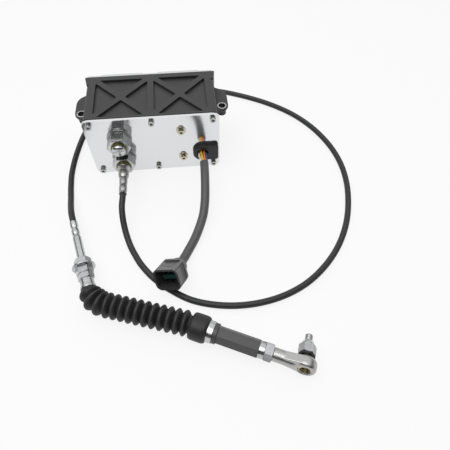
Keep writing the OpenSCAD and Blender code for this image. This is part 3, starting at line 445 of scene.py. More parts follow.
class Graph:
    """Small helper around one node tree."""

    def __init__(self, tree: bpy.types.NodeTree) -> None:
        """Keeps the tree and empties it."""
        self.tree = tree
        tree.nodes.clear()

    def add(self, kind: str, props: Optional[dict] = None, **sockets: object) -> bpy.types.Node:
        """Adds a node.

        Args:
            kind: node type.
            props: plain properties to set.
            sockets: input values or output sockets to link, by input name with _ for spaces.
        Returns:
            The node.
        """
        node = self.tree.nodes.new(kind)
        for key, value in (props or {}).items():
            setattr(node, key, value)
        for key, value in sockets.items():
            self.feed(node.inputs[key.replace("_", " ")], value)
        return node

    def feed(self, socket: Socket, value: object) -> None:
        """Sets or links one input.

        Args:
            socket: the input.
            value: what it holds, or an output socket to link.
        """
        if isinstance(value, Socket):
            self.tree.links.new(value, socket)
        else:
            socket.default_value = value

    def math(self, op: str, a: object, b: object) -> Socket:
        """Adds a two-input maths node.

        Args:
            op: its operation.
            a: first value or socket.
            b: second value or socket.
        Returns:
            Its result.
        """
        node = self.add("ShaderNodeMath", {"operation": op})
        self.feed(node.inputs[0], a)
        self.feed(node.inputs[1], b)
        return node.outputs[0]

    def weigh(self, a: object, part_a: float, b: object, part_b: float) -> Socket:
        """Adds two values, each taken in part."""
        return self.math("ADD", self.math("MULTIPLY", a, part_a), self.math("MULTIPLY", b, part_b))

    def noise(self, place: object, scale: object, detail: float, rough: float, warp: float = 0.0) -> Socket:
        """Adds a noise pattern and returns its value."""
        return self.add("ShaderNodeTexNoise", Vector=place, Scale=scale, Detail=detail, Roughness=rough,
                        Distortion=warp).outputs[0]

    def span(self, value: object, low: float, high: float, to_low: float, to_high: float,
             kind: str = "LINEAR") -> Socket:
        """Maps a value from one range to another.

        Args:
            value: the value.
            low: start of its range.
            high: end of its range.
            to_low: start of the new range.
            to_high: end of the new range.
            kind: how it runs between them.
        Returns:
            The mapped value.
        """
        node = self.add("ShaderNodeMapRange", {"interpolation_type": kind}, Value=value, From_Min=low, From_Max=high,
                        To_Min=to_low, To_Max=to_high)
        return node.outputs[0]

    def blend(self, factor: object, a: object, b: object) -> Socket:
        """Mixes two colours by a factor.

        Args:
            factor: share of the second colour.
            a: first colour.
            b: second colour.
        Returns:
            The mixed colour.
        """
        node = self.add("ShaderNodeMix", {"data_type": "RGBA"})
        for index, value in ((0, factor), (6, a), (7, b)):
            self.feed(node.inputs[index], value)
        return node.outputs[2]


class Grain(Enum):
    """Kinds of surface that a finish can have."""

    CAST = "cast_grain"
    DRAWN = "drawn_lines"
    RUBBER = "rubber_bloom"
    PLATED = "plated_haze"


def new_group(name: str) -> tuple[Graph, bpy.types.Node, bpy.types.Node]:
    """Starts a shader group with the sockets that all surface effects share.

    Args:
        name: group name.
    Returns:
        The graph, its input node and its output node.
    """
    tree = bpy.data.node_groups.new(name, "ShaderNodeTree")
    for label, kind in (("Vector", "NodeSocketVector"), ("Scale", "NodeSocketFloat"), ("Contrast", "NodeSocketFloat")):
        tree.interface.new_socket(name=label, in_out="INPUT", socket_type=kind)
    for label in ("Tone", "Gloss", "Height"):
        tree.interface.new_socket(name=label, in_out="OUTPUT", socket_type="NodeSocketFloat")
    graph = Graph(tree)
    return graph, graph.add("NodeGroupInput"), graph.add("NodeGroupOutput")


def effect_group(grain: Grain) -> bpy.types.NodeTree:
    """Builds one surface effect once and hands it out again later.

    Args:
        grain: the kind of surface.
    Returns:
        A group with Tone, Gloss and Height that change over the surface.
    """
    found = bpy.data.node_groups.get(grain.value)
    if found:
        return found
    g, start, end = new_group(grain.value)
    place, scale = start.outputs["Vector"], start.outputs["Scale"]
    coarse = g.noise(place, g.math("MULTIPLY", scale, 0.045), 4.0, 0.55)
    fine = g.noise(place, scale, 3.0, 0.6)
    if grain is Grain.CAST:
        pits = g.add("ShaderNodeTexVoronoi", {"feature": "SMOOTH_F1"}, Vector=place,
                     Scale=g.math("MULTIPLY", scale, 0.7), Randomness=1.0, Smoothness=0.6).outputs[0]
        height, tone = g.weigh(fine, 0.6, pits, 0.5), g.weigh(coarse, 0.65, fine, 0.35)
    elif grain is Grain.DRAWN:
        lines = g.noise(place, g.math("MULTIPLY", scale, 2.6), 2.0, 0.7)
        height, tone = g.weigh(lines, 0.7, fine, 0.3), g.weigh(coarse, 0.5, lines, 0.5)
    elif grain is Grain.RUBBER:
        specks = g.noise(place, g.math("MULTIPLY", scale, 3.1), 1.0, 0.5)
        height, tone = g.weigh(fine, 0.7, specks, 0.3), g.weigh(coarse, 0.7, specks, 0.3)
    else:
        haze = g.noise(place, g.math("MULTIPLY", scale, 0.3), 5.0, 0.65, 0.4)
        height, tone = fine, g.weigh(coarse, 0.4, haze, 0.6)
    swing = g.math("MULTIPLY", g.math("SUBTRACT", tone, 0.5), start.outputs["Contrast"])
    g.feed(end.inputs["Tone"], g.add("ShaderNodeClamp", Value=g.math("ADD", swing, 0.5)).outputs[0])
    g.feed(end.inputs["Gloss"], g.weigh(coarse, 0.6, fine, 0.4))
    g.feed(end.inputs["Height"], height)
    return g.tree


# Colour of the painted shade laid onto some flats of the nuts.
PAINTED_FLAT_SHADE: Colour = (0.05, 0.05, 0.052)


@dataclass(frozen=True)
class Finish:
    """One surface finish and the values that tell it from the others.

    Attributes:
        name: material name, in plain words.
        dark: colour of the darker patches.
        light: colour of the lighter patches.
        grain: kind of surface.
        scale: fineness of the pattern, per metre.
        metallic: 1 for bare or plated metal.
        rough: lowest and highest roughness.
        bump: height of the pattern in millimetres.
        contrast: how strongly the patches differ.
        stretch: scale of the pattern along X, Y and Z.
        turn: turn of the pattern about Z, in degrees.
        specular: reflection level of a plain surface.
        ridge: colour of a painted highlight on raised ridges, where the piece carries that attribute.
        facets: how much darker, as painted shade, one flat of a nut may be than the next, where it carries that
            attribute.
    """

    name: str
    dark: Colour
    light: Colour
    grain: Grain
    scale: float
    metallic: float = 0.0
    rough: tuple[float, float] = (0.4, 0.55)
    bump: float = 0.02
    contrast: float = 1.6
    stretch: Point = (1.0, 1.0, 1.0)
    turn: float = 0.0
    specular: float = 0.5
    ridge: Optional[Colour] = None
    facets: float = 0.0

    def material(self) -> bpy.types.Material:
        """Builds the material the first time and reuses it later.

        Returns:
            The material.
        """
        label = "finish_" + self.name
        found = bpy.data.materials.get(label)
        if found:
            return found
        mat = bpy.data.materials.new(label)
        mat.use_nodes = True
        g = Graph(mat.node_tree)
        place = g.add("ShaderNodeMapping", Vector=g.add("ShaderNodeTexCoord").outputs["Object"],
                      Rotation=(0.0, 0.0, radians(self.turn)), Scale=self.stretch)
        effect = g.add("ShaderNodeGroup", {"node_tree": effect_group(self.grain)})
        for key, value in (("Vector", place.outputs[0]), ("Scale", self.scale), ("Contrast", self.contrast)):
            g.feed(effect.inputs[key], value)
        colour = g.blend(effect.outputs["Tone"], (*self.dark, 1), (*self.light, 1))
        # Painted highlight on raised ridges, where the piece carries that attribute.
        if self.ridge:
            ridge_highlight = g.add("ShaderNodeAttribute", {"attribute_name": "ridge"})
            colour = g.blend(ridge_highlight.outputs["Fac"], colour, (*self.ridge, 1))
        # Painted shade on single flats of a nut, where the piece carries that attribute.
        if self.facets:
            flat = g.add("ShaderNodeAttribute", {"attribute_name": "flat_shade"})
            colour = g.blend(g.math("MULTIPLY", flat.outputs["Fac"], self.facets), colour, (*PAINTED_FLAT_SHADE, 1))
        bump = g.add("ShaderNodeBump", Strength=1.0, Distance=self.bump * MM, Height=effect.outputs["Height"])
        shader = g.add("ShaderNodeBsdfPrincipled", Base_Color=colour, Metallic=self.metallic,
                       Roughness=g.span(effect.outputs["Gloss"], 0.3, 0.7, *self.rough),
                       Normal=bump.outputs[0], Specular_IOR_Level=self.specular)
        g.add("ShaderNodeOutputMaterial", Surface=shader.outputs[0])
        return mat

    def dress(self, *objs: Piece) -> None:
        """Puts the finish on whole pieces.

        Args:
            objs: the pieces.
        """
        for obj in objs:
            obj.data.materials.clear()
            obj.data.materials.append(self.material())


CASTING = Finish("black_casting", (0.030, 0.030, 0.031), (0.042, 0.042, 0.043), Grain.CAST, 900, 0.0, (0.42, 0.56),
                 0.03)
MIRROR = Finish("satin_plate", (0.72, 0.73, 0.74), (0.80, 0.80, 0.81), Grain.DRAWN, 420, 1.0, (0.10, 0.17), 0.0012,
                1.2, (0.12, 1.0, 1.0))
SHEET = Finish("pressed_cover", (0.62, 0.63, 0.64), (0.74, 0.75, 0.76), Grain.DRAWN, 420, 1.0, (0.22, 0.34), 0.002,
               1.3, (0.15, 1.0, 1.0))
GASKET = Finish("gasket_rubber", (0.018, 0.018, 0.019), (0.030, 0.030, 0.031), Grain.RUBBER, 900, 0.0, (0.6, 0.75))
SCREW = Finish("screw_steel", (0.42, 0.42, 0.41), (0.58, 0.58, 0.56), Grain.PLATED, 700, 1.0, (0.2, 0.34), 0.003)
GOLD_SCREW = Finish("washer_zinc", (0.52, 0.49, 0.38), (0.66, 0.63, 0.52), Grain.PLATED, 700, 1.0, (0.2, 0.32), 0.003)
# Nuts in this finish take painted shade on some of their flats.
ZINC = Finish("bright_zinc", (0.40, 0.405, 0.41), (0.66, 0.665, 0.67), Grain.PLATED, 600, 1.0, (0.15, 0.29), 0.003, 2.4,
              facets=0.5)
OLIVE = Finish("yellow_zinc", (0.13, 0.135, 0.045), (0.24, 0.24, 0.09), Grain.PLATED, 700, 1.0, (0.3, 0.44), 0.004, 1.8)
STEEL = Finish("satin_steel", (0.34, 0.34, 0.34), (0.56, 0.56, 0.555), Grain.PLATED, 500, 1.0, (0.28, 0.44), 0.004, 2.4)
FORGED = Finish("forged_steel", (0.34, 0.34, 0.33), (0.56, 0.56, 0.55), Grain.CAST, 700, 1.0, (0.28, 0.42), 0.015, 1.8)
RUBBER = Finish("black_rubber", (0.009, 0.009, 0.0095), (0.017, 0.017, 0.0175), Grain.RUBBER, 700, 0.0, (0.42, 0.58),
                0.015)
BOOT = Finish("boot_rubber", (0.008, 0.008, 0.0085), (0.015, 0.015, 0.0155), Grain.RUBBER, 600, 0.0, (0.48, 0.64),
              # Its ridge colour is a painted highlight on the crests of the folds.
              ridge=(0.05, 0.049, 0.048))
JACKET = Finish("cable_jacket", (0.017, 0.0175, 0.0185), (0.026, 0.0265, 0.028), Grain.RUBBER, 500, 0.0, (0.42, 0.56),
                0.012)
SLEEVE = Finish("harness_sleeve", (0.075, 0.075, 0.076), (0.110, 0.110, 0.111), Grain.RUBBER, 420, 0.0, (0.34, 0.46))
SHELL = Finish("grey_plastic", (0.135, 0.137, 0.136), (0.19, 0.192, 0.19), Grain.CAST, 1100, 0.0, (0.46, 0.6))
# Darker plastic painted as shade on the connector's forward faces and socket walls.
SHELL_SHADE = Finish("shell_painted_shade", (0.030, 0.031, 0.031), (0.046, 0.047, 0.047), Grain.CAST, 1100, 0.0, (0.46, 0.6))
GREEN = Finish("green_plastic", (0.003, 0.042, 0.030), (0.006, 0.062, 0.044), Grain.CAST, 900)
CONTACT = Finish("contact_metal", (0.10, 0.085, 0.05), (0.18, 0.15, 0.09), Grain.PLATED, 900, 1.0, (0.3, 0.42), 0.002)
BRASS = Finish("liner_brass", (0.62, 0.56, 0.36), (0.78, 0.73, 0.54), Grain.PLATED, 700, 1.0, (0.22, 0.36), 0.003)
# Dark bronze on the recessed face of the ball, painted as the shade inside the eye.
BALL_FACE_SHADE = Finish("ball_face_painted_shade", (0.07, 0.060, 0.040), (0.15, 0.13, 0.09), Grain.PLATED, 600, 1.0, (0.24, 0.4), 0.003, 2.0)
BLACK_STEEL = Finish("black_steel", (0.032, 0.032, 0.033), (0.058, 0.058, 0.058), Grain.DRAWN, 500, 0.0, (0.34, 0.5),
                     stretch=(0.12, 1.0, 1.0), turn=-ROD_TURN, specular=0.7)
# Painted shade for the inside of the ear bushes' bores.
PAINTED_BORE_SHADE = Finish("bore_painted_shade", (0.030, 0.031, 0.033), (0.055, 0.056, 0.058), Grain.PLATED, 700, 0.0, (0.5, 0.65), 0.003)
ALUMINIUM = Finish("frame_aluminium", (0.5, 0.51, 0.52), (0.66, 0.67, 0.68), Grain.DRAWN, 500, 1.0, (0.28, 0.42), 0.004,
                   1.4, (1.0, 0.15, 1.0))
MOTOR = Finish("motor_can", (0.15, 0.15, 0.16), (0.21, 0.21, 0.22), Grain.DRAWN, 500, bump=0.01)
LEAD_COLOURS: dict[str, tuple[Colour, Colour]] = {
    "white": ((0.86, 0.85, 0.83), (0.94, 0.93, 0.91)), "yellow": ((0.95, 0.65, 0.02), (1.0, 0.73, 0.05)),
    "orange": ((0.94, 0.20, 0.06), (1.0, 0.27, 0.09)), "blue": ((0.03, 0.13, 0.38), (0.05, 0.18, 0.48)),
}


# ---------------------------------------------------------------- cables

@dataclass
class Cable:
    """A round cable along given points.

    Attributes:
        name: piece name.
        node: CAD node that it stands for.
        points: route in millimetres.
        diameter: in millimetres.
        finish: its surface.
    """

    name: str
    node: str
    points: Sequence[Sequence[float]]
    diameter: float
    finish: Finish

    def build(self) -> Piece:
        """Makes the curve, smooth through every point.

        Returns:
            The dressed cable.
        """
        data = bpy.data.curves.new(self.name, "CURVE")
        data.dimensions = "3D"
        data.bevel_depth = self.diameter / 2 * MM
        data.bevel_resolution = 6
        data.resolution_u = 10
        data.use_fill_caps = True
        spline = data.splines.new("BEZIER")
        spline.bezier_points.add(len(self.points) - 1)
        route = [mm(p) for p in self.points]
        last = len(route) - 1
        for i, knot in enumerate(spline.bezier_points):
            pull = (route[min(i + 1, last)] - route[max(i - 1, 0)]) / (6 if 0 < i < last else 3)
            knot.handle_left_type = knot.handle_right_type = "FREE"
            knot.co = route[i]
            knot.handle_left = route[i] - pull
            knot.handle_right = route[i] + pull
        obj = linked(self.name, data)
        self.finish.dress(obj)
        return stand_for(obj, self.node)


LOOP_LINE: list[tuple[float, float]] = [
    (-25.6, -157.5), (-19, -169.5), (-7, -185), (9, -199), (30, -212), (57, -219.5), (85, -221), (113, -216.5),
    (139, -206), (162, -189.5), (182, -168), (198, -142), (209, -113), (215.5, -82), (216, -51), (209.5, -20),
    (195.5, 11), (175, 38), (148, 60.5), (117, 78.5), (85, 92), (50, 100), (14, 102), (-22, 96), (-54, 81), (-78, 57),
    (-91, 28), (-98, -5), (-101, -37), (-100, -60),
]
CABLE_ROUTE: list[Sequence[float]] = [
    (-36.5, -87.8, 24.5), (-36.7, -97, 24), (-37.7, -107, 21.3), (-37.5, -117, 16.6), (-36.2, -127, 10.9),
    (-33.8, -137, 6.4), (-30.4, -147, 4), *[(x, y, CABLE_FLOOR) for x, y in LOOP_LINE],
    (-98, -76, 4.6), (-95.5, -91, 8.2), (-92.3, -104.7, 12), HUB_AT - 0.3 * HUB_DIR,
]
CONNECTOR_AT = Vector((7.1, -198.6, 24.8))
CONNECTOR_DIR = Matrix.Rotation(radians(-27), 3, "Z") @ Vector((0, cos(radians(29)), -sin(radians(29))))
CONNECTOR_LEN = 28.3
CONNECTOR_ROLL = radians(-24)
SHEATH_ROUTE: list[Sequence[float]] = [
    (52.5, -57.6, 25.9), (52.4, -64.5, 25.6), (52, -75, 24.2), (51, -90, 20.8), (49.5, -104, 16.2),
    (46.5, -118.5, 11.4), (41, -132.5, 7.4), (35, -145.4, 5.7), (28.4, -157.2, 5.44), (25.1, -163.4, 6),
    (21.6, -170.2, 7.9), CONNECTOR_AT + CONNECTOR_LEN * CONNECTOR_DIR,
]


@dataclass
class Leads:
    """The four leads between the motor's end and the sheath.

    Attributes:
        offsets: place of each lead in the bundle, across and up.
        bunch: how far they close up at the sheath.
        bend: radius of their bend behind the motor, in millimetres.
        motor_end: where they leave the motor, along X.
        motor_y: depth of the motor's axis.
        motor_z: height of the middle of the bundle there.
        diameter: of one lead.
    """

    offsets: tuple[tuple[float, float], ...] = ((-4.1, -1.2), (-1.5, 1.2), (1.5, 1.2), (4.1, -1.2))
    bunch: float = 0.82
    bend: float = 9.5
    motor_end: float = 48.5
    motor_y: float = 18.0
    motor_z: float = 38.5
    diameter: float = 2.2

    def across(self, k: int, angle: float) -> Vector:
        """Place of a lead across the bundle.

        Args:
            k: number of the lead.
            angle: turn of the bundle, in degrees.
        Returns:
            The place in millimetres.
        """
        ox, oz = self.offsets[k]
        c, n = cos(radians(angle)), sin(radians(angle))
        return Vector((ox * c - oz * n, 0.0, ox * n + oz * c))

    def route(self, k: int) -> list[Vector]:
        """Route of one lead: out of the motor, round a bend, through the outlet.

        Args:
            k: number of the lead.
        Returns:
            Its points in millimetres.
        """
        start, flat = self.across(k, 90), self.across(k, 0)
        reach = self.bend + start.x
        turn = Vector((self.motor_end + 2, self.motor_y - self.bend, self.motor_z + start.z))
        angles = [radians(a) for a in (0, 30, 60, 90)]
        close = Vector((52.5 + self.bunch * flat.x, 0, 26 + flat.z))
        return [
            Vector((self.motor_end + 0.3, self.motor_y, self.motor_z)) + Vector((0, start.x, start.z)),
            *[turn + reach * Vector((sin(a), cos(a), 0)) for a in angles],
            Vector((57.5, turn.y - 15.5, 34.5)) + self.across(k, 60),
            Vector((53.5, turn.y - 27.5, 28.5)) + self.across(k, 25),
            Vector((52, -27.5, 25.6)) + flat, Vector((52, -38.5, 25)) + flat, Vector((52, -45, 25)) + flat,
            close + Vector((0, -52.6, 0)), close + Vector((0, -57.3, -0.1)),
        ]

    def build(self) -> list[Piece]:
        """Makes the four leads.

        Returns:
            The leads.
        """
        made = []
        for k, (colour, shades) in enumerate(LEAD_COLOURS.items()):
            finish = Finish(colour + "_lead", *shades, Grain.RUBBER, 800, 0.0, (0.36, 0.48))
            node = "lead_" + colour
            made.append(Cable(node + "_wire", node, self.route(k), self.diameter, finish).build())
        return made


# ---------------------------------------------------------------- sub-assemblies

def from_ear_hole(at: Vector) -> float:
    """Distance of a place, given in metres, from the axis of the nearer ear hole, in metres."""
    return hypot(abs(at.x) - EAR_HOLE[0] * MM, at.y - EAR_HOLE[1] * MM)


def in_pocket(edge: BMEdge) -> bool:
    """Tells whether an edge belongs to the pockets of the ribbed face.

    Args:
        edge: an edge of the housing.
    Returns:
        True where it does.
    """
    near, far = POCKET_Y
    return all(v.co.z > POCKET_FLOOR * MM and abs(v.co.x) < POCKET_HALF * MM and near * MM < v.co.y < far * MM
               for v in edge.verts)


def on_ear(edge: BMEdge) -> bool:
    """Tells whether an edge belongs to the outline of an ear.

    Args:
        edge: an edge of the housing.
    Returns:
        True where it does.
    """
    low, high = EAR_Z
    return (all(low * MM < v.co.z < high * MM for v in edge.verts)
            and max(abs(v.co.x) for v in edge.verts) > EAR_FROM * MM
            and min(from_ear_hole(v.co) for v in edge.verts) > EAR_HOLE_R * MM)


@dataclass
class CaseWork:
    """Housing, covers, gaskets, bushes and their screws.

    Attributes:
        casting_ease: rounding of the casting's edges, in millimetres.
        ear_ease: rounding of the ears' outlines.
        pocket_ease: rounding of the pockets' edges.
        plate_ease: rounding of the front plate's edges.
        plate_out: how far each end of the front plate is carried out.
        plate_end: half length past which the plate is carried.
        bush_bore: radius inside which a bush's bore takes painted shade.
        bush_low: height under which a bush is painted with the casting.
    """

    casting_ease: float = 0.7
    ear_ease: float = 1.3
    pocket_ease: float = 0.3
    plate_ease: float = 0.4
    plate_out: float = 1.5
    plate_end: float = 67.2
    bush_bore: float = 4.2
    bush_low: float = 56.2

    def casting(self) -> Piece:
        """Housing with crisp pockets, softly rounded ears and plain rounding elsewhere.

        Returns:
            The housing.
        """
        bm = node_copy("housing")
        round_edges(bm, self.pocket_ease, test=in_pocket)
        round_edges(bm, self.ear_ease, 4, test=on_ear)
        round_edges(bm, self.casting_ease, 3, test=lambda e: not (in_pocket(e) or on_ear(e)))
        return settled(bm, "housing")

    def plate(self) -> Piece:
        """Front plate whose two ends stand a little past the casting.

        Returns:
            The front plate.
        """
        bm = node_copy("front_plate")
        for side in (-1, 1):
            end = [v for v in bm.verts if side * v.co.x > self.plate_end * MM]
            bmesh.ops.translate(bm, vec=(side * self.plate_out * MM, 0, 0), verts=end)
        round_edges(bm, self.plate_ease)
        return settled(bm, "front_plate")

    def bushes(self) -> Piece:
        """Ear bushes with bright rings, bores darkened as painted shade, and sides painted with the casting.

        Returns:
            Both bushes as one piece.
        """
        obj = dressed("ear_bushes", ZINC, 0.15)
        # The bush bores take painted shade.
        two_tone(obj, PAINTED_BORE_SHADE, lambda f: from_ear_hole(f.center) < self.bush_bore * MM and abs(f.normal.z) < 0.5)
        obj.data.materials.append(CASTING.material())
        for face in obj.data.polygons:
            if face.center.z < self.bush_low * MM and not face.material_index:
                face.material_index = 2
        return obj

    def build(self) -> list[Piece]:
        """Rounds the castings, sheets and screws and dresses them.

        Returns:
            The pieces.
        """
        casting, plate = self.casting(), self.plate()
        CASTING.dress(casting)
        MIRROR.dress(plate)
        GASKET.dress(NODES["front_gasket"], NODES["rear_gasket"])
        return [casting, plate, dressed("rear_cover", SHEET, 0.6, 3), self.bushes(),
                dressed("plate_screws", SCREW, 0.3), dressed("rear_screws", SCREW, 0.25),
                dressed("motor_screws", GOLD_SCREW, 0.3), dressed("motor_washers", GOLD_SCREW, 0.15)]


@dataclass
class Ports:
    """The two ports on the front plate with the plug and the cable's swivel.

    Attributes:
        nut_reach: how far a nut's face is carried towards the end of its port, in millimetres.
        nut_half: depth, along Y, past which a nut is carried.
        sleeve: length of the ferrule over the start of the cable.
        wire_r: radius of the hole for the wire.
        cable_r: radius of the hole for the cable.
    """

    nut_reach: float = 3.0
    nut_half: float = -46.0
    sleeve: float = 6.2
    wire_r: float = 1.5
    cable_r: float = 3.35

    def build(self) -> list[Piece]:
        """Makes and dresses every port piece."""
        return [self.nuts(), dressed("port_washers", STEEL, 0.4), dressed("port_bodies", OLIVE, 0.5),
                self.plug(), self.swivel(), self.ferrule()]

    def nuts(self) -> Piece:
        """Hex nuts whose faces reach to just behind the ends of the ports.

        Returns:
            Both nuts as one piece.
        """
        bm = node_copy("port_nuts")
        faces = [v for v in bm.verts if v.co.y < self.nut_half * MM]
        bmesh.ops.translate(bm, vec=(0, -self.nut_reach * MM, 0), verts=faces)
        round_edges(bm, 0.35)
        obj = settled(bm, "port_nuts")
        # Painted shade on some flats of the port nuts.
        paint_flat_shade(obj, Vector((0, -1, 0)), (0.3, 0.25, 0.8, 0.5, 0.5, 0.9))
        ZINC.dress(obj)
        return obj

    def plug(self) -> Piece:
        """Domed plug that closes the upper port.

        Returns:
            The plug.
        """
        dome = [(7.25 * cos(a), 2.2 + 3.7 * sin(a)) for a in (i * pi / 24 for i in range(13))]
        rows = [(0, -6), (5.1, -6), (5.1, 0), (6.95, 0), (7.25, 0.3)] + dome
        return turned("domed_plug", "port_plug", rows, to_front(PORT_X, PORT_FRONT, HIGH_PORT_Z), ZINC, 64)

    def swivel(self) -> Piece:
        """Swivel stem with its cap, neck and ball collar.

        Returns:
            The swivel.
        """
        cap = [(self.wire_r, 0), (5.1, 0), (5.1, 10.05), (6.9, 10.05), (7.1, 10.3), (7.1, 11.0), (6.6, 11.7),
               (4.2, 12.9), (3.4, 13.7)]
        ball = [(3.2, 14.9), (4.5, 15.0), (5.2, 15.5), (5.6, 16.6), (5.7, 18.4), (5.65, 21.0), (5.4, 22.9),
                (4.9, 24.3), (4.4, 25.5), (self.wire_r, 25.5)]
        return turned("swivel_stem", "cable_swivel", cap + ball, to_front(PORT_X, STEM_BACK, LOW_PORT_Z), STEEL, 48)

    def ferrule(self) -> Piece:
        """Crimped ferrule that runs over the start of the cable.

        Returns:
            The ferrule.
        """
        solid = COLLAR_FRONT - CABLE_START
        end = solid + self.sleeve
        rows = crimped(end, 4.3, 0.3)[:-1] + [(self.cable_r, end), (self.cable_r, solid), (self.wire_r, solid)]
        return turned("near_crimp", "near_ferrule", rows, to_front(PORT_X, COLLAR_FRONT, LOW_PORT_Z), STEEL, 40)


CRIMP_STARTS, CRIMP_SHARE = (0.34, 0.78), 0.2


def crimped(length: float, radius: float, depth: float = 0.7, bore: float = 1.5) -> list[tuple[float, float]]:
    """Profile of a ferrule with two rolled crimps.

    Args:
        length: along the cable, in millimetres.
        radius: outside radius.
        depth: how far a crimp goes in.
        bore: radius of the hole for the wire.
    Returns:
        Radius and height pairs.
    """
    rows = [(bore, 0.0), (radius - 0.4, 0.0), (radius, 0.4)]
    for start in CRIMP_STARTS:
        for t in (i / 8 for i in range(9)):
            rows.append((radius - depth * sin(pi * t) ** 0.7, length * (start + CRIMP_SHARE * t)))
    rows = [row for row in rows if row[1] < length - 0.35]
    return rows + [(radius - 0.1, length - 0.3), (radius - 0.4, length), (bore, length)]


@dataclass
class Harness:
    """Grommet, connector and its contacts.

    Attributes:
        shell_ease: rounding of the connector shell.
        slim: size of the shell where it meets its flange, against its straight form.
        shorter: how far the flange is carried towards the open end, in millimetres.
        flange_at: place of the flange's front along the connector, before that.
        flange_back: place of its back.
        flange_flat: half length of the flange's flat sides.
        flange_corner: radius of its corners.
        socket_end: depth that the socket stays within.
        half_w: half width of the shell at its open end.
        half_h: half height of the shell.
        narrow: how much each side comes in towards the flange.
        bore_r: radius inside which points belong to the contacts' holes.
        tab_z: reach of the tab along the connector.
        tab_top: how far the tab stands up.
    """

    shell_ease: float = 0.6
    slim: float = 0.8
    shorter: float = 2.4
    flange_at: float = 20.0
    flange_back: float = 23.0
    flange_flat: float = 6.5
    flange_corner: float = 5.0
    socket_end: float = 14.0
    half_w: float = 13.0
    half_h: float = 11.0
    narrow: float = 2.0
    bore_r: float = 8.5
    tab_z: tuple[float, float] = (7.0, 17.0)
    tab_top: float = 0.3

    def build(self) -> list[Piece]:
        """Rounds and dresses the harness pieces.

        Returns:
            The pieces.
        """
        GASKET.dress(NODES["connector_seal"])
        return [dressed("wire_grommet", RUBBER, 1.1, 4), self.shell(), dressed("connector_wedge", GREEN, 0.4),
                dressed("connector_pins", CONTACT, 0.35)]

    def shell(self) -> Piece:
        """Connector shell, slim behind, with a flange standing round it; its forward faces and socket walls take
        painted shade.

        Returns:
            The shell.
        """
        bm = node_copy("connector_shell")
        place = along(CONNECTOR_AT, CONNECTOR_DIR) @ Matrix.Rotation(CONNECTOR_ROLL, 4, "Z")
        there = place.inverted()
        for vert in bm.verts:
            vert.co = place @ self.drawn_in(there @ vert.co)
        round_edges(bm, self.shell_ease, 3)
        obj = settled(bm, "connector_shell")
        SHELL.dress(obj)
        # Forward faces and socket walls take painted shade.
        two_tone(obj, SHELL_SHADE, lambda face: self.painted_shade_part(there @ face.center, there.to_3x3() @ face.normal * MM))
        return obj

    def drawn_in(self, at: Vector) -> Vector:
        """Carries a point of the straight shell to the slimmer, shorter one.

        Args:
            at: the point in the connector's own place, in millimetres.
        Returns:
            Its new place.
        """
        part = at.z / self.flange_at
        corner = Vector([max(abs(c) - self.flange_flat, 0.0) for c in at.xy])
        if abs(at.z - self.flange_at) < 0.2 and at.xy.length > self.bore_r:
            size = self.slim if corner.length < self.flange_corner - 0.2 else 1.0
            return Vector((at.x * size, at.y * size, at.z - self.shorter))
        if abs(at.z - self.flange_back) < 0.2:
            return at - self.shorter * UP
        if 0.5 < at.z < self.flange_at - 0.2 and abs(at.x) > self.half_w - 0.5 - self.narrow * part:
            size = 1 - (1 - self.slim) * part
            return Vector((at.x * size, at.y * size, at.z - self.shorter * part))
        if self.tab_z[0] < at.z < self.tab_z[1] and at.y > self.half_h - 0.5:
            low = self.half_h * (1 - (1 - self.slim) * at.z / (self.flange_at - self.shorter))
            return Vector((at.x, low + (self.tab_top if at.y > self.half_h + 0.3 else 0.0), at.z))
        return at

    def painted_shade_part(self, at: Vector, normal: Vector) -> bool:
        """Tells whether a face of the shell looks forward or is inside the socket, the faces that take painted shade.

        Args:
            at: middle of the face, in the connector's own place, in millimetres.
            normal: its direction there.
        Returns:
            True where the shell takes painted shade.
        """
        inward = at.xy.dot(normal.xy) < -0.3 * at.xy.length
        return (0.8 < at.z < self.socket_end and inward) or normal.z < -0.9

    def on_cord(self) -> list[Piece]:
        """Pieces that hang on the harness sheath."""
        made = [bpy.data.objects[n + "_eased"] for n in ("connector_shell", "connector_wedge", "connector_pins")]
        return made + [NODES["connector_seal"]]


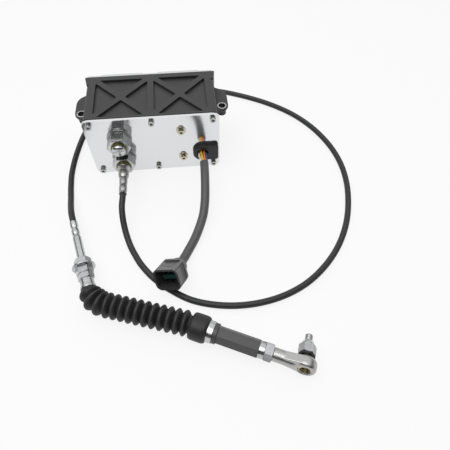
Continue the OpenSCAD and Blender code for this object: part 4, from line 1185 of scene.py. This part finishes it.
@dataclass
class Boot:
    """Folded rubber boot that follows the bent line between hub and rod.

    Attributes:
        folds: number of folds.
        fold_r: radius over the folds.
        valley_r: radius between the folds.
        wall: thickness of the rubber.
        cuff: plain length at each end.
        steps: sides around.
        rows: rows in one fold.
        first: height of the fold at the hub, against the others.
        tuck: how much slimmer the cuff is at the hub.
        ridge_highlight: strength of the painted highlight on the ridges.
    """

    folds: int = 14
    fold_r: float = 12.0
    valley_r: float = 8.25
    wall: float = 1.7
    cuff: float = 2.0
    steps: int = 56
    rows: int = 12
    first: float = 0.6
    tuck: float = 0.8
    ridge_highlight: float = 0.55

    def radius(self, s: float) -> float:
        """Outer radius of the boot.

        Args:
            s: length from the hub, in millimetres.
        Returns:
            The radius in millimetres.
        """
        u = (s - self.cuff) / (BELLOWS_LEN - 2 * self.cuff) * self.folds
        if u <= 0:
            return self.valley_r - self.tuck
        if u >= self.folds:
            return self.valley_r
        i = floor(u + 1e-6)
        lift = max(0.0, sin(pi * (u - i))) ** 1.1
        return self.valley_r + (self.first if i == 0 else 1.0) * (self.fold_r - self.valley_r) * lift

    def build(self) -> Piece:
        """Spins the folds straight, then lays them along the bent line.

        Returns:
            The boot, which stretches between hub and rod.
        """
        count = self.folds * self.rows
        folded = [self.cuff + (BELLOWS_LEN - 2 * self.cuff) * k / count for k in range(count + 1)]
        outer = [(self.radius(s), s) for s in [0.0, *folded, BELLOWS_LEN]]
        inner = [(r - self.wall, s) for r, s in reversed(outer)]
        bm = bmesh.new()
        lathe(bm, outer + inner, Matrix.Identity(4), self.steps)
        for vert in bm.verts:
            centre, turn = bellows_line(min(max(vert.co.z, 0.0), BELLOWS_LEN))
            vert.co = (centre + vert.co.x * heading(turn).cross(UP) + vert.co.y * UP) * MM
        obj = finish_mesh(bm, "folded_boot", 60.0)
        self.paint_ridge_highlight(obj)
        BOOT.dress(obj)
        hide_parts("bellows")
        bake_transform(obj)
        return obj

    def paint_ridge_highlight(self, obj: Piece) -> None:
        """Writes how far each point stands up a ridge, for the painted highlight on the crests.

        Args:
            obj: the boot.
        """
        centres = [bellows_line(BELLOWS_LEN * k / 400)[0] * MM for k in range(401)]
        low, high = (self.fold_r - 0.55) * MM, (self.fold_r - 0.02) * MM
        values = []
        for vert in obj.data.vertices:
            reach = min((vert.co - c).length for c in centres)
            values.append(self.ridge_highlight * min(max((reach - low) / (high - low), 0.0), 1.0))
        obj.data.attributes.new("ridge", "FLOAT", "POINT").data.foreach_set("value", values)


@dataclass
class FarEnd:
    """Hub, boot, sleeve and rod end on the far end of the cable.

    Attributes:
        hub_thread_r: crest radius of the hub thread.
        stud_r: crest radius of the stud thread.
        seal_top: height of the dust seal over the middle of the eye.
        ball_r: radius of the ball.
        nut_foot: height of the nut's foot before it is carried down.
        made: pieces, once they are built.
    """

    hub_thread_r: float = 4.8
    stud_r: float = 4.0
    seal_top: float = 10.0
    ball_r: float = 7.0
    nut_foot: float = 12.5
    made: list[Piece] = field(default_factory=list)

    def build(self) -> list[Piece]:
        """Makes and dresses all far end pieces.

        Returns:
            The pieces.
        """
        ferrule = turned("far_crimp", "far_ferrule", crimped(20.0, 4.0, 0.4), ON_HUB, ZINC, 40)
        self.made = [ferrule, self.hub(), *self.hub_hardware(), Boot().build(), self.collar(),
                     dressed("boot_clamp", ZINC, 0.5), *self.sleeve(), *self.eye(), self.stud(), self.seal(),
                     self.stud_nut(), self.cone()]
        return self.made

    def hub(self) -> Piece:
        """Smooth tube with its threaded end.

        Returns:
            The tube.
        """
        bm = bmesh.new()
        lathe(bm, [(1.5, 20), (3.9, 20), (4.2, 20.3), (4.2, 46.6), (3.9, 47), (1.5, 47)], ON_HUB, 56)
        thread(bm, self.hub_thread_r, 47.0, 84.0, 1.25, ON_HUB, 0.5, 40, 1.5)
        obj = stand_for(finish_mesh(bm, "threaded_tube"), "hub_tube")
        ZINC.dress(obj)
        return obj

    def hub_hardware(self) -> list[Piece]:
        """Nuts, washer and ring on the hub.

        Returns:
            The pieces, from the cable outwards.
        """
        eases = {"hub_nuts": 0.3, "hub_washer": 0.4, "hub_lock_nut": 0.3, "hub_ring": 0.4}
        pieces = [dressed(node, ZINC, ease) for node, ease in eases.items()]
        for nut in (pieces[0], pieces[2]):
            # Painted shade on some flats of the hub nuts.
            paint_flat_shade(nut, HUB_DIR, (0.2, 0.0, 0.5, 0.6, 0.7, 1.0))
        return pieces

    def collar(self) -> Piece:
        """Rubber collar at the boot's end.

        Returns:
            The collar.
        """
        rows = [(5.02, 0.0), (10.6, 0.0), (11.6, 0.4), (12.2, 1.4), (12.45, 3.2), (12.5, 5.0), (12.5, 11.5),
                (12.35, 13.2), (11.9, 14.7), (11.2, 15.6), (10.4, 16.0), (5.02, 16.0)]
        return turned("boot_cuff", "boot_collar", rows, along(ROD_AT + 0.3 * ROD_DIR, ROD_DIR), RUBBER, 64, 50.0)

    def sleeve(self) -> list[Piece]:
        """Hex sleeve, notched ring and lock nut, with the rod inside.

        Returns:
            Sleeve, ring and nut.
        """
        pieces = [dressed("hex_sleeve", BLACK_STEEL, 0.45), dressed("notched_ring", ZINC, 0.2),
                  dressed("lock_nut", ZINC, 0.3)]
        # Painted shade on some flats of the lock nut.
        paint_flat_shade(pieces[2], ROD_DIR, (0.0, 1.0, 0.5, 0.3, 0.6, 1.0))
        STEEL.dress(NODES["pull_rod"], NODES["inner_wire_far"])
        return pieces

    def eye(self) -> list[Piece]:
        """Forged rod end, melted softly from barrel to eye, and its liner.

        Returns:
            Rod end and liner.
        """
        forged = softened(node_copy("rod_end"), "rod_end", 0.36, 16)
        FORGED.dress(forged)
        return [forged, dressed("race_liner", FORGED, 0.25)]

    def stud(self) -> Piece:
        """Ball stud with its threads, the ball open behind, its recessed face darkened as painted shade.

        Returns:
            The ball stud.
        """
        r = self.ball_r
        low, high = asin(-4.7 / r), asin(sqrt(r * r - 3.5 ** 2) / r)
        ball = [(r * cos(a), r * sin(a)) for a in (low + (high - low) * i / 22 for i in range(23))]
        rows = [(0, -1.4), (4.5, -1.7), (4.7, -4.7)] + ball + [(3.5, 10.6), (3.9, 11.0), (0, 11.0)]
        bm = bmesh.new()
        lathe(bm, rows, ON_STUD, 56)
        thread(bm, self.stud_r, 10.9, 22.5, 1.25, ON_STUD, 0.5, 40)
        thread(bm, self.stud_r - 0.5, 22.4, 28.8, 1.0, ON_STUD, 0.25, 40)
        lathe(bm, [(0, 28.5), (3.3, 28.5), (3.3, 28.8), (2.7, 29.5), (0, 29.5)], ON_STUD, 40)
        obj = stand_for(finish_mesh(bm, "threaded_stud"), "ball_stud")
        STEEL.dress(obj)
        middle = EYE * MM
        two_tone(obj, BRASS, lambda face: (face.center - middle).length < (r + 0.15) * MM)
        # The recessed face of the ball takes painted shade.
        obj.data.materials.append(BALL_FACE_SHADE.material())
        for face in obj.data.polygons:
            in_painted_shade = face.normal.dot(STUD_DIR) < -0.9 and (face.center - middle).length < 4.6 * MM
            if face.material_index and in_painted_shade:
                face.material_index = 2
        return obj

    def cone(self) -> Piece:
        """Coned collar on top of the stud nut."""
        rows = [(4.1, 18.5), (5.3, 18.5), (5.6, 18.8), (5.6, 19.9), (5.4, 20.3), (4.8, 22.2), (4.5, 22.5), (4.1, 22.5)]
        return turned("stud_cone", "stud_washer", rows, ON_STUD, ZINC)

    def seal(self) -> Piece:
        """Dust seal, a rubber cup under the nut that stays clear of the eye when it tilts.

        Returns:
            The seal.
        """
        top = self.seal_top - 0.05
        cup = [(4.1, top), (4.1, 9.45), (5.0, 9.0), (6.0, 8.37), (6.8, 7.95), (7.2, 7.8), (7.45, 7.95), (7.6, 8.6),
               (7.45, 9.5), (7.0, top)]
        return turned("seal_cup", "dust_seal", cup, ON_STUD, RUBBER, 56, 50.0)

    def stud_nut(self) -> Piece:
        """Stud nut whose foot reaches down onto the seal.

        Returns:
            The nut.
        """
        bm = node_copy("stud_nut")
        foot = [v for v in bm.verts if (v.co - EYE * MM).dot(STUD_DIR) < (self.nut_foot + 3) * MM]
        bmesh.ops.translate(bm, vec=(self.seal_top + 0.1 - self.nut_foot) * MM * STUD_DIR, verts=foot)
        round_edges(bm, 0.3)
        obj = settled(bm, "stud_nut")
        # Painted shade on some flats of the stud nut.
        paint_flat_shade(obj, STUD_DIR, (0.2, 0.9, 0.5, 0.6, 0.4, 0.8))
        ZINC.dress(obj)
        return obj

    def on_cord(self) -> list[Piece]:
        """Pieces that hang on the control cable."""
        return self.made + [NODES["pull_rod"], NODES["inner_wire_far"]]


def softened(bm: BMesh, node: str, voxel: float, rounds: int) -> Piece:
    """Melts the forms of a mesh into each other.

    Args:
        bm: closed forms that overlap, freed here.
        node: CAD node to stand for.
        voxel: size of the remesh in millimetres.
        rounds: smoothing rounds.
    Returns:
        The new piece.
    """
    rough = finish_mesh(bm, node + "_rough")
    remesh = rough.modifiers.new("melt", "REMESH")
    remesh.mode, remesh.voxel_size = "VOXEL", voxel * MM
    smooth = rough.modifiers.new("ease", "SMOOTH")
    smooth.factor, smooth.iterations = 0.5, rounds
    mesh = bpy.data.meshes.new_from_object(rough.evaluated_get(bpy.context.evaluated_depsgraph_get()))
    bpy.data.objects.remove(rough)
    mesh.polygons.foreach_set("use_smooth", [True] * len(mesh.polygons))
    return stand_for(linked(node + "_forged", mesh), node)


@dataclass
class Drive:
    """Gear train, motor and sensor inside the housing, kept as solids.

    Attributes:
        finishes: surface of each solid.
    """

    finishes: dict[str, Finish] = field(default_factory=lambda: {
        "gear_frame": ALUMINIUM, "motor_bracket": ALUMINIUM, "shaft_bushes": BRASS, "output_shaft": STEEL,
        "output_gear": STEEL, "cable_drum": STEEL, "drum_wire": STEEL, "inner_wire_near": STEEL,
        "position_sensor": GREEN, "drive_motor": MOTOR, "motor_pinion": STEEL})

    def dress(self) -> int:
        """Puts a finish on each inner solid.

        Returns:
            How many were dressed.
        """
        for node, finish in self.finishes.items():
            finish.dress(NODES[node])
        return len(self.finishes)


# ---------------------------------------------------------------- studio

@dataclass
class Studio:
    """Floor, light and the camera at the photograph's angle.

    Attributes:
        eye: camera place in millimetres.
        ahead: viewing direction.
        right: direction to the right of the picture.
        lens: focal length on a 36 mm sensor.
        floor_half: half the floor's side, in metres.
        floor_glow: share of its own light that the floor shows where it is seen.
        lamp_at: place of the key lamp, in metres.
        lamp_to: where it aims.
        lamp_size: its side length.
        lamp_power: in watts.
    """

    eye: Point = (38.91, -364.87, 360.18)
    ahead: Point = (0.06961, 0.55047, -0.83195)
    right: Point = (0.99432, -0.10557, 0.01334)
    lens: float = 32.0
    floor_half: float = 0.85
    floor_glow: float = 0.84
    lamp_at: Point = (-0.25, -0.25, 1.1)
    lamp_to: Point = (0.0, -0.08, 0.0)
    lamp_size: float = 0.9
    lamp_power: float = 5.0

    def camera(self) -> None:
        """Sets the camera."""
        data = bpy.data.cameras.new("view")
        data.sensor_width, data.lens, data.clip_start = 36.0, self.lens, 0.01
        cam = linked("view", data)
        ahead, right = Vector(self.ahead).normalized(), Vector(self.right).normalized()
        up = right.cross(ahead)
        cam.matrix_world = Matrix.Translation(mm(self.eye)) @ Matrix((right, up, -ahead)).transposed().to_4x4()
        bpy.context.scene.camera = cam

    def floor(self) -> None:
        """Lays a pale floor that still takes the object's shadow."""
        bm = bmesh.new()
        bmesh.ops.create_grid(bm, x_segments=1, y_segments=1, size=self.floor_half,
                              matrix=Matrix.Translation((0.1, 0.0, 0.0)))
        obj = finish_mesh(bm, "floor")
        obj.location.z = -0.0004
        mat = bpy.data.materials.new("pale_floor")
        mat.use_nodes = True
        g = Graph(mat.node_tree)
        rays = g.add("ShaderNodeLightPath").outputs
        mirrored = g.math("MAXIMUM", rays["Is Glossy Ray"], rays["Is Transmission Ray"])
        seen = g.math("MAXIMUM", rays["Is Camera Ray"], mirrored)
        matt = g.add("ShaderNodeBsdfDiffuse", Color=(0.86, 0.86, 0.86, 1))
        glow = g.add("ShaderNodeEmission", Color=(1, 1, 1, 1), Strength=1.0)
        mix = g.add("ShaderNodeMixShader")
        for index, value in enumerate((g.math("MULTIPLY", seen, self.floor_glow), matt.outputs[0], glow.outputs[0])):
            g.feed(mix.inputs[index], value)
        g.add("ShaderNodeOutputMaterial", Surface=mix.outputs[0])
        obj.data.materials.append(mat)

    def light(self) -> None:
        """Soft light from above, with a bright back, a dimmer front and a pale rim at the horizon."""
        world = bpy.data.worlds.new("studio")
        bpy.context.scene.world = world
        world.use_nodes = True
        g = Graph(world.node_tree)
        axes = g.add("ShaderNodeSeparateXYZ", Vector=g.add("ShaderNodeTexCoord").outputs["Generated"])
        lean = g.weigh(axes.outputs["Z"], 0.9, axes.outputs["Y"], 0.42)
        sky = g.span(lean, 0.42, 0.72, 0.06, 1.0, "SMOOTHSTEP")
        rim = g.span(axes.outputs["Z"], 0.06, 0.2, 0.9, 0.0, "SMOOTHSTEP")
        glow = g.add("ShaderNodeBackground", Color=(1, 1, 1, 1), Strength=g.math("MAXIMUM", sky, rim))
        g.add("ShaderNodeOutputWorld", Surface=glow.outputs[0])
        data = bpy.data.lights.new("key", "AREA")
        data.energy, data.size = self.lamp_power, self.lamp_size
        lamp = linked("key", data)
        lamp.location = self.lamp_at
        lamp.rotation_euler = (Vector(self.lamp_to) - lamp.location).to_track_quat("-Z", "Y").to_euler()

    def build(self) -> None:
        """Makes the whole stage."""
        self.camera()
        self.floor()
        self.light()
        bpy.context.scene.view_settings.view_transform = "Standard"


def main() -> None:
    """Builds every sub-assembly in order."""
    logging.basicConfig(level=logging.INFO, format="%(name)s: %(message)s")
    Studio().build()
    cable = Cable("cable_line", "control_cable", CABLE_ROUTE, CABLE_D, JACKET).build()
    sheath = Cable("sheath_line", "harness_sheath", SHEATH_ROUTE, SHEATH_D, SLEEVE).build()
    leads = Leads().build()
    harness, far_end = Harness(), FarEnd()
    groups = {"case": CaseWork().build(), "ports": Ports().build(), "harness": harness.build(),
              "far end": far_end.build(), "leads": leads}
    far_end.on_cord()
    harness.on_cord()
    for name, pieces in groups.items():
        for piece in pieces:
            log.info("%s: %s", name, piece.name)
    log.info("drive: %d solids dressed", Drive().dress())


if __name__ == "__main__":
    main()
